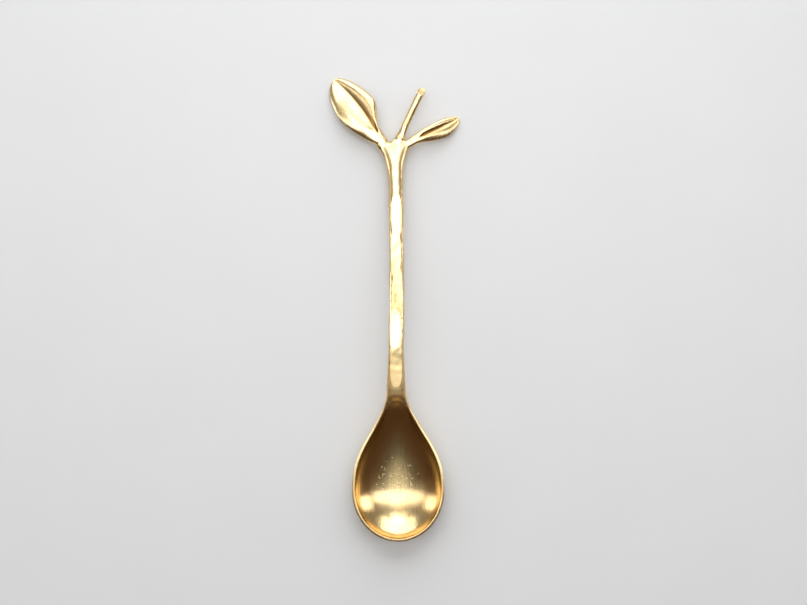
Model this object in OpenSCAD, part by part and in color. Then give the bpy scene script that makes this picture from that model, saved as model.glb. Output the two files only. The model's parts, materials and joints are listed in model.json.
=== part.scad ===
// Leaf-handled teaspoon, brazed together from worked brass pieces.
// +Y runs from the bowl towards the leaves, +Z is up, and the spoon lies on z = 0.
// The origin is the middle of the small flat under the bowl, which it rests on.

/* [Bowl] */
// Width of the bowl across its widest line
bowl_width = 24.8; // [20:0.1:30]
// Length from the widest line to the front tip
bowl_front_length = 13.7; // [11:0.1:18]
// Length from the widest line back to the stem joint
bowl_back_length = 27.4; // [24:0.1:36]
// Depth of the hollow below the middle of the rim
bowl_depth = 5.4; // [4.6:0.1:7]
// Thickness of the bowl's floor
bowl_wall_thickness = 1.1; // [0.9:0.05:1.5]
// Width of the rim seen from above
rim_width = 0.8; // [0.65:0.05:1.1]
// Thickness of the rim at its edge
rim_thickness = 0.8; // [0.6:0.05:1.1]
// Length of the solid heel between the hollow and the stem joint
heel_length = 3.2; // [2.4:0.1:5]
// How far the heel climbs above the rim
heel_rise_height = 2.6; // [1.6:0.1:4]
// How far the tip of the bowl turns up
tip_rise_height = 0.3; // [0:0.05:0.8]
// How much is rubbed off under the bowl to make the resting flat
rest_flat_depth = 0.12; // [0.06:0.01:0.2]

/* [Stem] */
// Length from the bowl joint to the root of the fork, seen from above
stem_length = 64.6; // [54:0.2:82]
// Width of the stem between its flares
stem_width = 4.2; // [3.6:0.05:5]
// Width of the stem at its waist, towards the fork
waist_width = 3.6; // [3:0.05:4.4]
// Thickness of the stem between its flares
stem_thickness = 3.1; // [2.8:0.05:3.6]
// Sideways distance from the bowl's middle to the stem joint
neck_offset = 0.55; // [0:0.05:1]
// Width of the stem where it meets the bowl
neck_width = 5.1; // [4.4:0.05:6]
// Thickness of the stem where it meets the bowl
neck_thickness = 3.2; // [3:0.05:3.7]
// Length of the flare above the bowl
neck_flare_length = 14; // [8:0.5:20]
// Height of the root of the fork above the table
fork_height = 3.1; // [2.4:0.1:4.5]
// Sideways distance from the bowl's middle to the root of the fork
fork_offset = 1.05; // [0.4:0.05:1.6]
// Width of the stem at the root of the fork
fork_width = 8.3; // [7.6:0.1:9]
// Thickness of the stem at the root of the fork
fork_thickness = 2.7; // [2.3:0.05:3.2]
// Length of the flare below the fork
fork_flare_length = 9; // [6:0.5:12]
// Depth of the crotch between the large leaf and the twig
large_crotch_depth = 0.65; // [0.6:0.05:1.4]
// Depth of the crotch between the twig and the small leaf
small_crotch_depth = 0.45; // [0.35:0.05:0.9]
// Distance between neighbouring hammered flats along the stem
flat_pitch = 9.8; // [8:0.1:13]
// Length of one hammered flat
flat_length = 11.6; // [8:0.1:16]
// Depth of a hammered flat
flat_depth = 0.32; // [0.15:0.01:0.45]

/* [Large leaf] */
// Length of the large leaf from its joint to its tip
large_leaf_length = 21.9; // [17.5:0.1:26]
// Width of its broad half, from the fold to the outer edge
large_leaf_broad_width = 6.45; // [5.2:0.05:7.8]
// Width of its narrow half
large_leaf_narrow_width = 4.15; // [3.3:0.05:5]
// How high the broad half rises out of the fold
large_leaf_broad_height = 1; // [0.6:0.05:1.4]
// How far its outer edge droops again
large_leaf_broad_droop_height = 0.55; // [0.2:0.05:0.6]
// How high the narrow half rises out of the fold
large_leaf_narrow_height = 1.9; // [1.1:0.05:2.5]
// How far its outer edge droops again
large_leaf_narrow_droop_height = 0.9; // [0.4:0.05:1.1]
// Thickness of the blade
large_leaf_thickness = 1.1; // [0.8:0.05:1.4]
// Width of its stalk at the joint
large_stalk_width = 3.5; // [3.2:0.05:3.8]
// Thickness of its stalk at the joint
large_stalk_thickness = 2.1; // [1.8:0.05:2.5]
// Height of the middle of its tip above the table
large_tip_height = 0.42; // [0.4:0.01:0.8]
// Sideways distance from the root of the fork to the joint
large_joint_offset = 3.2; // [3:0.05:3.6]
// Distance from the root of the fork forward to the joint
large_joint_distance = 1.5; // [1.4:0.05:2.2]

/* [Small leaf] */
// Length of the small leaf from its joint to its tip
small_leaf_length = 14.5; // [11.5:0.1:17.5]
// Width of its broad half, from the fold to the outer edge
small_leaf_broad_width = 3; // [2.4:0.05:3.6]
// Width of its narrow half
small_leaf_narrow_width = 1.85; // [1.5:0.05:2.3]
// How high the ridge of the broad half rises out of the fold
small_leaf_broad_height = 0.5; // [0.3:0.05:0.8]
// How far its outer edge falls from the ridge
small_leaf_broad_droop_height = 0.6; // [0.3:0.05:0.7]
// How high the narrow half rises out of the fold
small_leaf_narrow_height = 0.95; // [0.5:0.05:1.3]
// How far its outer edge droops again
small_leaf_narrow_droop_height = 0.2; // [0:0.05:0.4]
// Thickness of the blade
small_leaf_thickness = 1.0; // [0.8:0.05:1.3]
// Width of its stalk at the joint
small_stalk_width = 2.4; // [2.1:0.05:2.8]
// Thickness of its stalk at the joint
small_stalk_thickness = 1.9; // [1.7:0.05:2.2]
// Height of the middle of its tip above the table
small_tip_height = 0.4; // [0.38:0.01:0.8]
// Sideways distance from the root of the fork to the joint
small_joint_offset = 4.7; // [4.5:0.05:5.1]
// Distance from the root of the fork forward to the joint
small_joint_distance = 1.85; // [1.65:0.05:2.1]

/* [Twig] */
// Length of the bare twig from its joint to its cut end
twig_length = 13.5; // [10:0.1:17]
// Diameter of the twig between its ends
twig_diameter = 1.9; // [1.7:0.05:2.1]
// Diameter of the twig at its joint
twig_root_diameter = 2.6; // [2.3:0.05:2.7]
// Diameter of the twig at its cut end
twig_end_diameter = 2.1; // [1.9:0.05:2.3]
// Sideways distance from the root of the fork to the joint
twig_joint_offset = 1.65; // [1.5:0.05:1.8]
// Distance from the root of the fork forward to the joint
twig_joint_distance = 3.25; // [3:0.05:3.8]
// How far the twig's joint lies below the root of the fork
twig_joint_depth = 0.15; // [0:0.05:0.25]

/* [Joints] */
// Diameter of the tang that runs from the bowl into the stem
tang_diameter = 1.6; // [1.2:0.05:1.7]
// Length of that tang
tang_length = 3.6; // [2.5:0.1:4.2]
// Diameter of the large leaf's peg
large_peg_diameter = 1.1; // [0.8:0.05:1.3]
// Diameter of the small leaf's peg
small_peg_diameter = 0.9; // [0.7:0.05:1.1]
// Diameter of the twig's peg
twig_peg_diameter = 1.0; // [0.8:0.05:1.2]
// Length of the pegs of both leaves and the twig
peg_length = 1.9; // [1.4:0.1:2.3]
// Thickness of the run of braze in each joint
braze_gap = 0.25; // [0.15:0.05:0.35]
// How far each run of braze stands proud of the joint
braze_proud_height = 0.1; // [0.04:0.01:0.16]

/* [Hidden] */

brass = [0.83, 0.66, 0.36];
bright_brass = [0.9, 0.76, 0.48];
braze_brass = [0.78, 0.68, 0.45];

// Room round a tang or peg in its socket, and past its end
peg_clearance = 0.03;
peg_end_gap = 0.2;
// Overrun of a cut past the face that it opens
cut_overrun_length = 2;
hollow_overrun_height = 6;

// Curves are drawn with these counts
section_points = 32;
stalk_points = 24;
twig_points = 16;
bowl_front_steps = 12;
bowl_back_steps = 22;
hollow_steps = 14;
stem_steps = 64;
branch_steps = 6;
crotch_points = 5;
large_leaf_steps = 24;
small_leaf_steps = 18;
twig_steps = 12;
peg_faces = 48;

// Powers of the superellipses and curves that give the bowl its form
bowl_front_power = 2;
bowl_back_power = 1.2;
belly_back_power = 1.5;
hollow_back_power = 0.9;
hollow_front_power = 0.65;
// The hollow's section: 1 is an ellipse and 2 a parabola, whose sides lean out more
hollow_side_power = 1.6;
heel_power = 2.2;
rim_power = 3;
belly_power = 2.1;
stem_power = 2.5;
// Where the rim begins to thicken into the heel, as a share of the back
heel_start_share = 0.6;
// Where the hollow begins to draw in to its rounded end, as a share of its back
hollow_close_share = 0.9;
// The last ring at the bowl's tip and at the ends of the hollow, as shares of their lengths
tip_share = 0.9996;
hollow_end_share = 0.998;
// Least depth of the hollow, at its two ends
hollow_end_depth = 0.15;

// The stem's bearing and slope at the fork, and the share of its length that its end curves reach
fork_bearing = -3;
fork_slope = -6;
stem_handle_share = 0.3;
// How late the stem widens towards the fork
flare_power = 2.7;
// Middle and half length of the stem's waist, as shares of its length
waist_place_share = 0.67;
waist_reach_share = 0.26;
// Ends of the stem that stay plain, as shares of its length
plain_neck_share = 0.1;
plain_fork_share = 0.12;
// Each family of flats has a direction and a start along the pitch
flat_angles = [90, 0, 270, 180];
flat_phase_shares = [0, 0.5, 0.3, 0.8];
flat_leans = [8, 24, 24, 24];
flat_turn = 137.5;

// Bearings are turned from +Y towards +X, in degrees: at the joint, overall and at the tip
large_leaf_bearings = [-26, -36.9, -50];
small_leaf_bearings = [60, 62.3, 60];
twig_bearings = [22.5, 25.2, 27.5];
// Slopes at the joint and at the tip, in degrees
large_leaf_slopes = [2, -16];
small_leaf_slopes = [4, -18];
twig_slopes = [9, 8];
// Roll of each leaf about its own line, in degrees
large_leaf_roll = -3;
small_leaf_roll = 4;
// Outline of each half of a leaf: powers of its rise and fall, and where it starts and is broadest
large_broad_outline = [0.5, 0.36, 0.02, 0.52];
large_narrow_outline = [1.1, 0.46, 0.14, 0.47];
small_broad_outline = [0.57, 0.5, 0.045, 0.645];
small_narrow_outline = [0.3, 0.45, 0, 0.68];
// How squarely the rise and the fall of an outline meet
outline_power = 8;
least_share = 0.0001;
// Powers of the rise out of the fold and of the droop of the outer edge
large_blade_powers = [2, 3];
small_broad_powers = [6, 1.5];
small_narrow_powers = [2, 3];
// Where a leaf's stalk has become blade, and where nothing of its width is left, as shares of its length
stalk_share = 0.3;
stalk_fade_share = 0.6;
leaf_end_share = 0.995;
// How much of the blade's thickness is left at its edges, and how much is lost towards its tip
edge_share = 0.55;
tip_thin_share = 0.2;
// The stem's section divides into its three branches this many points to either side of its top
large_split = 1;
small_split = 2;
// How squarely the web of each crotch is rounded from top to bottom
crotch_power = 0.6;
// Where the large crotch is deepest, as a share of the way from the leaf to the twig
crotch_lean = 0.3;
// How far the flare at the root of the twig reaches, as a share of its length
twig_root_share = 0.22;
// The cut end of the twig is slanted by this angle
twig_cut_angle = 42;

function unit(v) = v / norm(v);
function mix(a, b, share) = a + (b - a) * share;
function clamp01(x) = max(0, min(1, x));
function ease(x) = let (c = clamp01(x)) c * c * (3 - 2 * c);
function signed_pow(x, power) = sign(x) * pow(abs(x), power);
function bearing(angle) = [sin(angle), cos(angle), 0];
function aim(angle, slope) = [sin(angle) * cos(slope), cos(angle) * cos(slope), sin(slope)];

// A cubic curve through its first and last control points, and its direction
function curve_at(c, t) =
    c[0] * pow(1 - t, 3) + 3 * c[1] * t * pow(1 - t, 2) + 3 * c[2] * t * t * (1 - t) + c[3] * pow(t, 3);
function curve_way(c, t) = unit(
    (c[1] - c[0]) * pow(1 - t, 2) + 2 * (c[2] - c[1]) * t * (1 - t) + (c[3] - c[2]) * t * t);

// A flat outline, placed square to a direction, with its own first axis kept level before the roll
function across(way) = unit(cross(way, [0, 0, 1]));
function placed(outline, origin, way, roll = 0) =
    let (right = across(way), up = cross(right, way),
         side = right * cos(roll) + up * sin(roll), top = up * cos(roll) - right * sin(roll))
    [for (p = outline) origin + p[0] * side + p[1] * top];

// Superellipse from its left end over the top, with its own height above and below the widest line
function superellipse(half_width, above, below, above_power, below_power, points) =
    [for (i = [0:points - 1])
        let (a = 180 - 360 * i / points, up = sin(a) >= 0, power = 2 / (up ? above_power : below_power))
        [half_width * signed_pow(cos(a), power), (up ? above : below) * signed_pow(sin(a), power)]];

// Triangles between two rings of point numbers, and a ring's points in the other order
function wall(a, b) =
    [for (j = [0:len(a) - 1]) let (k = (j + 1) % len(a)) each [[a[j], b[j], b[k]], [a[j], b[k], a[k]]]];
function numbers(start, count) = [for (j = [0:count - 1]) start + j];
function reversed(list) = [for (j = [len(list) - 1:-1:0]) list[j]];

// Solid through a row of rings that all have the same number of points
module skin(rings) {
    n = len(rings[0]);
    last = len(rings) - 1;
    polyhedron(
        points = [for (ring = rings) each ring],
        faces = concat(
            [numbers(0, n)],
            [for (i = [0:last - 1]) each wall(numbers(i * n, n), numbers((i + 1) * n, n))],
            [reversed(numbers(last * n, n))]));
}

// Straight round bar from a point along a direction
module bar(start, way, length, diameter) {
    translate(start)
        rotate([0, acos(way[2]), atan2(way[1], way[0])])
            cylinder(h = length, d = diameter, $fn = peg_faces);
}

// The bowl, along its widest line

belly_depth = bowl_depth + bowl_wall_thickness;
rim_height = belly_depth - rest_flat_depth;
hollow_back_length = bowl_back_length - heel_length;
hollow_front_length = bowl_front_length - rim_width;

function back_share(y) = max(0, y / bowl_back_length);
function front_share(y) = max(0, -y / bowl_front_length);
function heel_share(y) = ease((back_share(y) - heel_start_share) / (1 - heel_start_share));

function bowl_half_width(y) = y < 0
    ? bowl_width / 2 * pow(1 - pow(front_share(y), bowl_front_power), 1 / bowl_front_power)
    : mix(neck_width, bowl_width, (1 + cos(180 * pow(back_share(y), bowl_back_power))) / 2) / 2;
function belly_drop(y) = y < 0
    ? mix(rim_thickness / 2 * tip_round(y), belly_depth, sqrt(1 - pow(front_share(y), 2)))
    : mix(neck_thickness / 2, belly_depth, (1 + cos(180 * pow(back_share(y), belly_back_power))) / 2);
function tip_round(y) =
    pow(1 - pow(clamp01((-y - hollow_front_length) / rim_width), rim_power), 1 / rim_power);
function rim_crown(y) = mix(rim_thickness, neck_thickness, heel_share(y)) / 2 * tip_round(y);
function rim_line(y) =
    rim_height + heel_rise_height * pow(back_share(y), heel_power) + tip_rise_height * pow(front_share(y), 2);
function rim_slope(y) = y < 0
    ? atan(-2 * tip_rise_height * front_share(y) / bowl_front_length)
    : atan(heel_rise_height * heel_power * pow(back_share(y), heel_power - 1) / bowl_back_length);

function bowl_middle(y) = [-neck_offset * pow(back_share(y), 2), y, rim_line(y)];

function bowl_ring(y) = placed(
    superellipse(bowl_half_width(y), rim_crown(y), belly_drop(y),
                 mix(rim_power, stem_power, heel_share(y)), mix(belly_power, stem_power, heel_share(y)),
                 section_points),
    bowl_middle(y), [0, cos(rim_slope(y)), sin(rim_slope(y))]);

// The hollow is an inner boat that narrows to a rounded end short of the heel
function hollow_share(y) = y < 0 ? -y / hollow_front_length : y / hollow_back_length;
function hollow_depth(y) = hollow_end_depth + (bowl_depth - hollow_end_depth) * (y < 0
    ? pow(1 - pow(hollow_share(y), 2), hollow_front_power)
    : pow(1 - pow(hollow_share(y), 2), hollow_back_power));
function hollow_close(y) =
    sqrt(1 - pow(clamp01((hollow_share(y) - hollow_close_share) / (1 - hollow_close_share)), 2));
function hollow_half_width(y) = y < 0
    ? (bowl_width / 2 - rim_width) * pow(1 - pow(hollow_share(y), bowl_front_power), 1 / bowl_front_power)
    : (bowl_half_width(y) - rim_width) * hollow_close(y);
function hollow_outline(half_width, depth) =
    [for (p = superellipse(half_width, hollow_overrun_height, 1, stem_power, 2, section_points))
        [p[0], p[1] < 0 ? -depth * pow(-p[1], hollow_side_power) : p[1]]];
function hollow_ring(y) = placed(
    hollow_outline(hollow_half_width(y), hollow_depth(y)),
    bowl_middle(y), [0, cos(rim_slope(y)), sin(rim_slope(y))]);

neck_joint = bowl_middle(bowl_back_length);
neck_way = [0, cos(rim_slope(bowl_back_length)), sin(rim_slope(bowl_back_length))];

module bowl() {
    color(brass) {
        difference() {
            skin(concat(
                [for (i = [0:bowl_front_steps])
                    bowl_ring(-bowl_front_length * min(tip_share, cos(90 * i / bowl_front_steps)))],
                [for (i = [1:bowl_back_steps]) bowl_ring(bowl_back_length * i / bowl_back_steps)]));
            skin(concat(
                [for (i = [0:hollow_steps])
                    hollow_ring(-hollow_front_length * min(hollow_end_share, cos(90 * i / hollow_steps)))],
                [for (i = [1:hollow_steps])
                    hollow_ring(hollow_back_length * min(hollow_end_share, sin(90 * i / hollow_steps)))]));
            translate([-bowl_width / 2, -bowl_front_length, -cut_overrun_length])
                cube([bowl_width, bowl_front_length + bowl_back_length, cut_overrun_length]);
        }
        bar(neck_joint - neck_way * heel_length / 2, neck_way, heel_length / 2 + tang_length, tang_diameter);
    }
}

// The stem, from the bowl joint to the fork

stem_foot = neck_joint + neck_way * braze_gap;
fork = [-fork_offset, bowl_back_length + stem_length, fork_height];
fork_way = aim(fork_bearing, fork_slope);
stem_line = [
    stem_foot,
    stem_foot + neck_way * stem_length * stem_handle_share,
    fork - fork_way * stem_length * stem_handle_share,
    fork];

// Flare shares are 1 at the stem's ends and 0 between the flares
function neck_flare_share(t) = pow(clamp01(1 - t * stem_length / neck_flare_length), 2);
function fork_flare_share(t) = pow(clamp01(1 - (1 - t) * stem_length / fork_flare_length), flare_power);
function waist_share(t) = 0.5 + 0.5 * cos(180 * min(1, abs(t - waist_place_share) / waist_reach_share));
function stem_half_width(t) =
    (mix(stem_width, waist_width, waist_share(t)) + (neck_width - stem_width) * neck_flare_share(t)
     + (fork_width - stem_width) * fork_flare_share(t)) / 2;
function stem_half_thickness(t) =
    (stem_thickness + (neck_thickness - stem_thickness) * neck_flare_share(t)
     + (fork_thickness - stem_thickness) * fork_flare_share(t)) / 2;

// Hammered flats: each is a shallow cut across the section that deepens to its middle
flat_rows = floor(stem_length * (1 - plain_neck_share - plain_fork_share) / flat_pitch);
flats = [for (f = [0:len(flat_angles) - 1], k = [0:flat_rows - 1])
    [stem_length * plain_neck_share + (k + flat_phase_shares[f]) * flat_pitch,
     flat_angles[f] + flat_leans[f] * sin(flat_turn * (k + f))]];

function reach(half_width, half_thickness, angle) = 1 / pow(
    pow(abs(cos(angle)) / half_width, stem_power) + pow(abs(sin(angle)) / half_thickness, stem_power),
    1 / stem_power);
function flat_bite(t, place) = flat_depth * max(0, 1 - pow((t * stem_length - place) / (flat_length / 2), 2));
function hammered(t, angle, half_width, half_thickness) = min(concat(
    [reach(half_width, half_thickness, angle)],
    [for (f = flats)
        let (bite = flat_bite(t, f[0]), off = cos(angle - f[1]))
        if (bite > 0 && off > 0) (reach(half_width, half_thickness, f[1]) - bite) / off]));
function stem_outline(t) =
    [for (i = [0:section_points - 1])
        let (round = 180 - 360 * i / section_points,
             a = atan2(stem_half_thickness(t) * signed_pow(sin(round), 2 / stem_power),
                       stem_half_width(t) * signed_pow(cos(round), 2 / stem_power)),
             r = hammered(t, a, stem_half_width(t), stem_half_thickness(t)))
        [r * cos(a), r * sin(a)]];
function stem_ring(t) = placed(stem_outline(t), curve_at(stem_line, t), curve_way(stem_line, t));

// The joints at the fork: place, direction, and the section of the stalk that they carry

large_way = aim(large_leaf_bearings[0], large_leaf_slopes[0]);
small_way = aim(small_leaf_bearings[0], small_leaf_slopes[0]);
twig_way = aim(twig_bearings[0], twig_slopes[0]);
large_joint = fork + [-large_joint_offset, large_joint_distance, 0];
small_joint = fork + [small_joint_offset, small_joint_distance, 0];
twig_joint = fork + [twig_joint_offset, twig_joint_distance, -twig_joint_depth];

function stalk_outline(width, thickness, points, proud = 0) =
    superellipse(width / 2 + proud, thickness / 2 + proud, thickness / 2 + proud, stem_power, stem_power, points);

function stalk_ring(joint, way, width, thickness, first_angle, points) =
    placed([for (i = [0:points - 1])
        let (a = first_angle - 360 * i / points)
        [width / 2 * signed_pow(cos(a), 2 / stem_power), thickness / 2 * signed_pow(sin(a), 2 / stem_power)]],
        joint - way * braze_gap, way);

// The stem's last ring divides at these points, and the web of each crotch reaches forward between them
quarter = section_points / 4;
large_top = quarter - large_split;
small_top = quarter + small_split;
large_low = section_points - large_top;
small_low = section_points - small_top;
fork_ring = stem_ring(1);
fork_ring_before = stem_ring(1 - 1 / stem_steps);
large_edge = large_joint + across(large_way) * large_stalk_width / 2;
twig_left = twig_joint - across(twig_way) * twig_root_diameter / 2;
twig_right = twig_joint + across(twig_way) * twig_root_diameter / 2;
small_edge = small_joint - across(small_way) * small_stalk_width / 2;
function crotch(top, low, middle) =
    [for (i = [1:crotch_points])
        let (share = i / (crotch_points + 1))
        mix(top, low, share) + (middle - mix(top, low, 0.5)) * pow(sin(180 * share), crotch_power)];
large_web = crotch(fork_ring[large_top], fork_ring[large_low],
                   mix(large_edge, twig_left, crotch_lean) - fork_way * large_crotch_depth);
small_web = crotch(fork_ring[small_top], fork_ring[small_low],
                   (small_edge + twig_right) / 2 - fork_way * small_crotch_depth);

// Points of the stem and its branches: the rings, both webs, then each branch's own rings
fork_start = stem_steps * section_points;
large_web_start = fork_start + section_points;
small_web_start = large_web_start + crotch_points;
large_first = concat(numbers(fork_start + large_low, large_top), numbers(fork_start, large_top + 1),
                     numbers(large_web_start, crotch_points));
twig_first = concat(numbers(fork_start + large_top, small_top - large_top + 1),
                    numbers(small_web_start, crotch_points),
                    numbers(fork_start + small_low, large_low - small_low + 1),
                    reversed(numbers(large_web_start, crotch_points)));
small_first = concat(numbers(fork_start + small_top, small_low - small_top + 1),
                     reversed(numbers(small_web_start, crotch_points)));
stem_points = concat([for (i = [0:stem_steps]) each stem_ring(i / stem_steps)], large_web, small_web);

// Each point of a branch runs on its own curve from the divided ring to the flat face of the joint
function in_list(value, first, count) = value >= first && value < first + count;
function web_number(index) =
    in_list(index, large_web_start, crotch_points) ? index - large_web_start + 1
    : in_list(index, small_web_start, crotch_points) ? index - small_web_start + 1 : 0;
function branch_rings(first, last_ring, way, side) =
    [for (i = [1:branch_steps])
        [for (j = [0:len(first) - 1])
            let (from = stem_points[first[j]], to = last_ring[j],
                 handle = norm(to - from) / 3,
                 web = sin(180 * web_number(first[j]) / (crotch_points + 1)),
                 inward = in_list(first[j], large_web_start, crotch_points) ? side[0] : side[1],
                 along = web > 0 ? fork_way
                     : unit(from - fork_ring_before[first[j] - fork_start]),
                 leave = unit(along * (1 - web) + inward * across(fork_way) * web))
            curve_at([from, from + leave * handle, to - way * handle, to], i / branch_steps)]];
large_rings = branch_rings(large_first,
    stalk_ring(large_joint, large_way, large_stalk_width, large_stalk_thickness,
               180 + 360 * large_top / len(large_first), len(large_first)), large_way, [-1, -1]);
twig_rings = branch_rings(twig_first,
    stalk_ring(twig_joint, twig_way, twig_root_diameter, twig_root_diameter,
               90 + 180 * (small_top - large_top) / len(twig_first), len(twig_first)), twig_way, [1, -1]);
small_rings = branch_rings(small_first,
    stalk_ring(small_joint, small_way, small_stalk_width, small_stalk_thickness,
               360 * (2 * quarter - small_top) / len(small_first), len(small_first)), small_way, [1, 1]);
large_start = len(stem_points);
twig_start = large_start + branch_steps * len(large_first);
small_start = twig_start + branch_steps * len(twig_first);
function branch_faces(first, start) =
    let (n = len(first))
    concat(wall(first, numbers(start, n)),
           [for (i = [0:branch_steps - 2]) each wall(numbers(start + i * n, n), numbers(start + (i + 1) * n, n))],
           [reversed(numbers(start + (branch_steps - 1) * n, n))]);

module forked_stem() {
    polyhedron(
        points = concat(stem_points, [for (ring = large_rings) each ring], [for (ring = twig_rings) each ring],
                        [for (ring = small_rings) each ring]),
        faces = concat(
            [numbers(0, section_points)],
            [for (i = [0:stem_steps - 1])
                each wall(numbers(i * section_points, section_points),
                          numbers((i + 1) * section_points, section_points))],
            branch_faces(large_first, large_start),
            branch_faces(twig_first, twig_start),
            branch_faces(small_first, small_start)));
}

module socket(joint, way, length, diameter) {
    bar(joint - way * (braze_gap + length + peg_end_gap), way,
        length + peg_end_gap + braze_gap + cut_overrun_length, diameter + 2 * peg_clearance);
}

module stem() {
    color(bright_brass) {
        difference() {
            forked_stem();
            bar(neck_joint, neck_way, braze_gap + tang_length + peg_end_gap, tang_diameter + 2 * peg_clearance);
            socket(large_joint, large_way, peg_length, large_peg_diameter);
            socket(small_joint, small_way, peg_length, small_peg_diameter);
            socket(twig_joint, twig_way, peg_length, twig_peg_diameter);
        }
    }
}

// Leaves

// Share of the full width of one half at a place along the leaf, and the half width with the stalk's in it
function outline_share(t, o) =
    let (rise = pow(max(0, (t - o[2]) / (o[3] - o[2])), o[0]) + least_share,
         fall = pow(max(0, (1 - t) / (1 - o[3])), o[1]) + least_share)
    pow((pow(rise, -outline_power) + pow(fall, -outline_power)) / 2, -1 / outline_power);
function leaf_half_width(t, width, outline, stalk_width) =
    pow(pow(width * outline_share(t, outline), 3)
        + pow(stalk_width / 2 * max(0, 1 - t / stalk_fade_share), 3), 1 / 3);

// Height of a half above the fold, at a share of the way to its edge
function blade_lift(share, height, droop_height, powers) =
    height * (1 - pow(1 - share, powers[0])) - droop_height * pow(share, powers[1]);

// Section of a leaf at a share of its length: a stalk that flattens into two halves and a fold
// Each half is its width, outline, height, droop height and powers
function leaf_section(t, left, right, thickness, stalk_width, stalk_thickness) =
    let (grown = ease(t / stalk_share), fade = (1 - pow(t, 4)) * grown,
         left_width = leaf_half_width(t, left[0], left[1], stalk_width),
         right_width = leaf_half_width(t, right[0], right[1], stalk_width),
         stalk = superellipse(1, stalk_thickness / 2, stalk_thickness / 2, stem_power, stem_power, stalk_points))
    [for (i = [0:stalk_points - 1])
        let (a = 180 - 360 * i / stalk_points, q = cos(a), top = i <= stalk_points / 2,
             half = q < 0 ? left : right, width = q < 0 ? left_width : right_width,
             thin = mix(1, edge_share, q * q) * sqrt(1 - pow(abs(q), 6)) * (1 - tip_thin_share * t * t),
             blade = [q * width, fade * blade_lift(abs(q), half[2], half[3], half[4])
                      + (top ? thickness / 2 : -thickness / 2) * thin])
        mix([stalk[i][0] * width, stalk[i][1]], blade, grown)];

module leaf(joint, bearings, slopes, roll, length, tip_height, left, right, thickness,
            stalk_width, stalk_thickness, steps) {
    way = aim(bearings[0], slopes[0]);
    tip = [joint[0], joint[1], tip_height] + bearing(bearings[1]) * length;
    line = [joint, joint + way * length / 3, tip - aim(bearings[2], slopes[1]) * length / 3, tip];
    skin([for (i = [0:steps])
        let (t = leaf_end_share * (1 - cos(180 * i / steps)) / 2)
        placed(leaf_section(t, left, right, thickness, stalk_width, stalk_thickness),
               curve_at(line, t), curve_way(line, t), roll * ease(t / stalk_share))]);
}

large_broad_half = [large_leaf_broad_width, large_broad_outline, large_leaf_broad_height,
                    large_leaf_broad_droop_height, large_blade_powers];
large_narrow_half = [large_leaf_narrow_width, large_narrow_outline, large_leaf_narrow_height,
                     large_leaf_narrow_droop_height, large_blade_powers];
small_broad_half = [small_leaf_broad_width, small_broad_outline, small_leaf_broad_height,
                    small_leaf_broad_droop_height, small_broad_powers];
small_narrow_half = [small_leaf_narrow_width, small_narrow_outline, small_leaf_narrow_height,
                     small_leaf_narrow_droop_height, small_narrow_powers];

module large_leaf() {
    color(bright_brass) {
        leaf(large_joint, large_leaf_bearings, large_leaf_slopes, large_leaf_roll, large_leaf_length,
             large_tip_height, large_broad_half, large_narrow_half, large_leaf_thickness,
             large_stalk_width, large_stalk_thickness, large_leaf_steps);
        bar(large_joint - large_way * (peg_length + braze_gap), large_way, 2 * peg_length, large_peg_diameter);
    }
}

module small_leaf() {
    color(bright_brass) {
        leaf(small_joint, small_leaf_bearings, small_leaf_slopes, small_leaf_roll, small_leaf_length,
             small_tip_height, small_narrow_half, small_broad_half, small_leaf_thickness,
             small_stalk_width, small_stalk_thickness, small_leaf_steps);
        bar(small_joint - small_way * (peg_length + braze_gap), small_way, 2 * peg_length, small_peg_diameter);
    }
}

// The twig

twig_end = twig_joint + aim(twig_bearings[1], (twig_slopes[0] + twig_slopes[1]) / 2) * twig_length;
twig_line = [twig_joint, twig_joint + twig_way * twig_length / 3,
             twig_end - aim(twig_bearings[2], twig_slopes[1]) * twig_length / 3, twig_end];
function twig_width(t) =
    mix(twig_diameter, twig_root_diameter, pow(1 - clamp01(t / twig_root_share), 2))
    + (twig_end_diameter - twig_diameter) * ease((t - twig_root_share) / (1 - twig_root_share));

module twig() {
    color(bright_brass) {
        skin([for (i = [0:twig_steps])
            let (t = i / twig_steps, way = curve_way(twig_line, t), up = cross(across(way), way),
                 ring = placed(stalk_outline(twig_width(t), twig_width(t), twig_points), curve_at(twig_line, t), way),
                 slant = i < twig_steps ? 0 : tan(twig_cut_angle))
            [for (p = ring) p - way * ((p - curve_at(twig_line, t)) * up) * slant]]);
        bar(twig_joint - twig_way * (peg_length + braze_gap), twig_way, 2 * peg_length, twig_peg_diameter);
    }
}

// Runs of braze: a thin slice of the joint's own section, standing slightly proud

module braze(joint, way, width, thickness, points, peg_diameter) {
    color(braze_brass) {
        difference() {
            skin([for (i = [0:2])
                placed(stalk_outline(width, thickness, points, i == 1 ? braze_proud_height : 0),
                       joint - way * braze_gap * (1 - i / 2), way)]);
            bar(joint - way * (braze_gap + cut_overrun_length), way, braze_gap + 2 * cut_overrun_length,
                peg_diameter + 2 * peg_clearance);
        }
    }
}

module bowl_braze() {
    braze(stem_foot, neck_way, neck_width, neck_thickness, section_points, tang_diameter);
}

module large_leaf_braze() {
    braze(large_joint, large_way, large_stalk_width, large_stalk_thickness, stalk_points, large_peg_diameter);
}

module small_leaf_braze() {
    braze(small_joint, small_way, small_stalk_width, small_stalk_thickness, stalk_points, small_peg_diameter);
}

module twig_braze() {
    braze(twig_joint, twig_way, twig_root_diameter, twig_root_diameter, twig_points, twig_peg_diameter);
}

bowl();
stem();
large_leaf();
small_leaf();
twig();
bowl_braze();
large_leaf_braze();
small_leaf_braze();
twig_braze();
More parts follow.
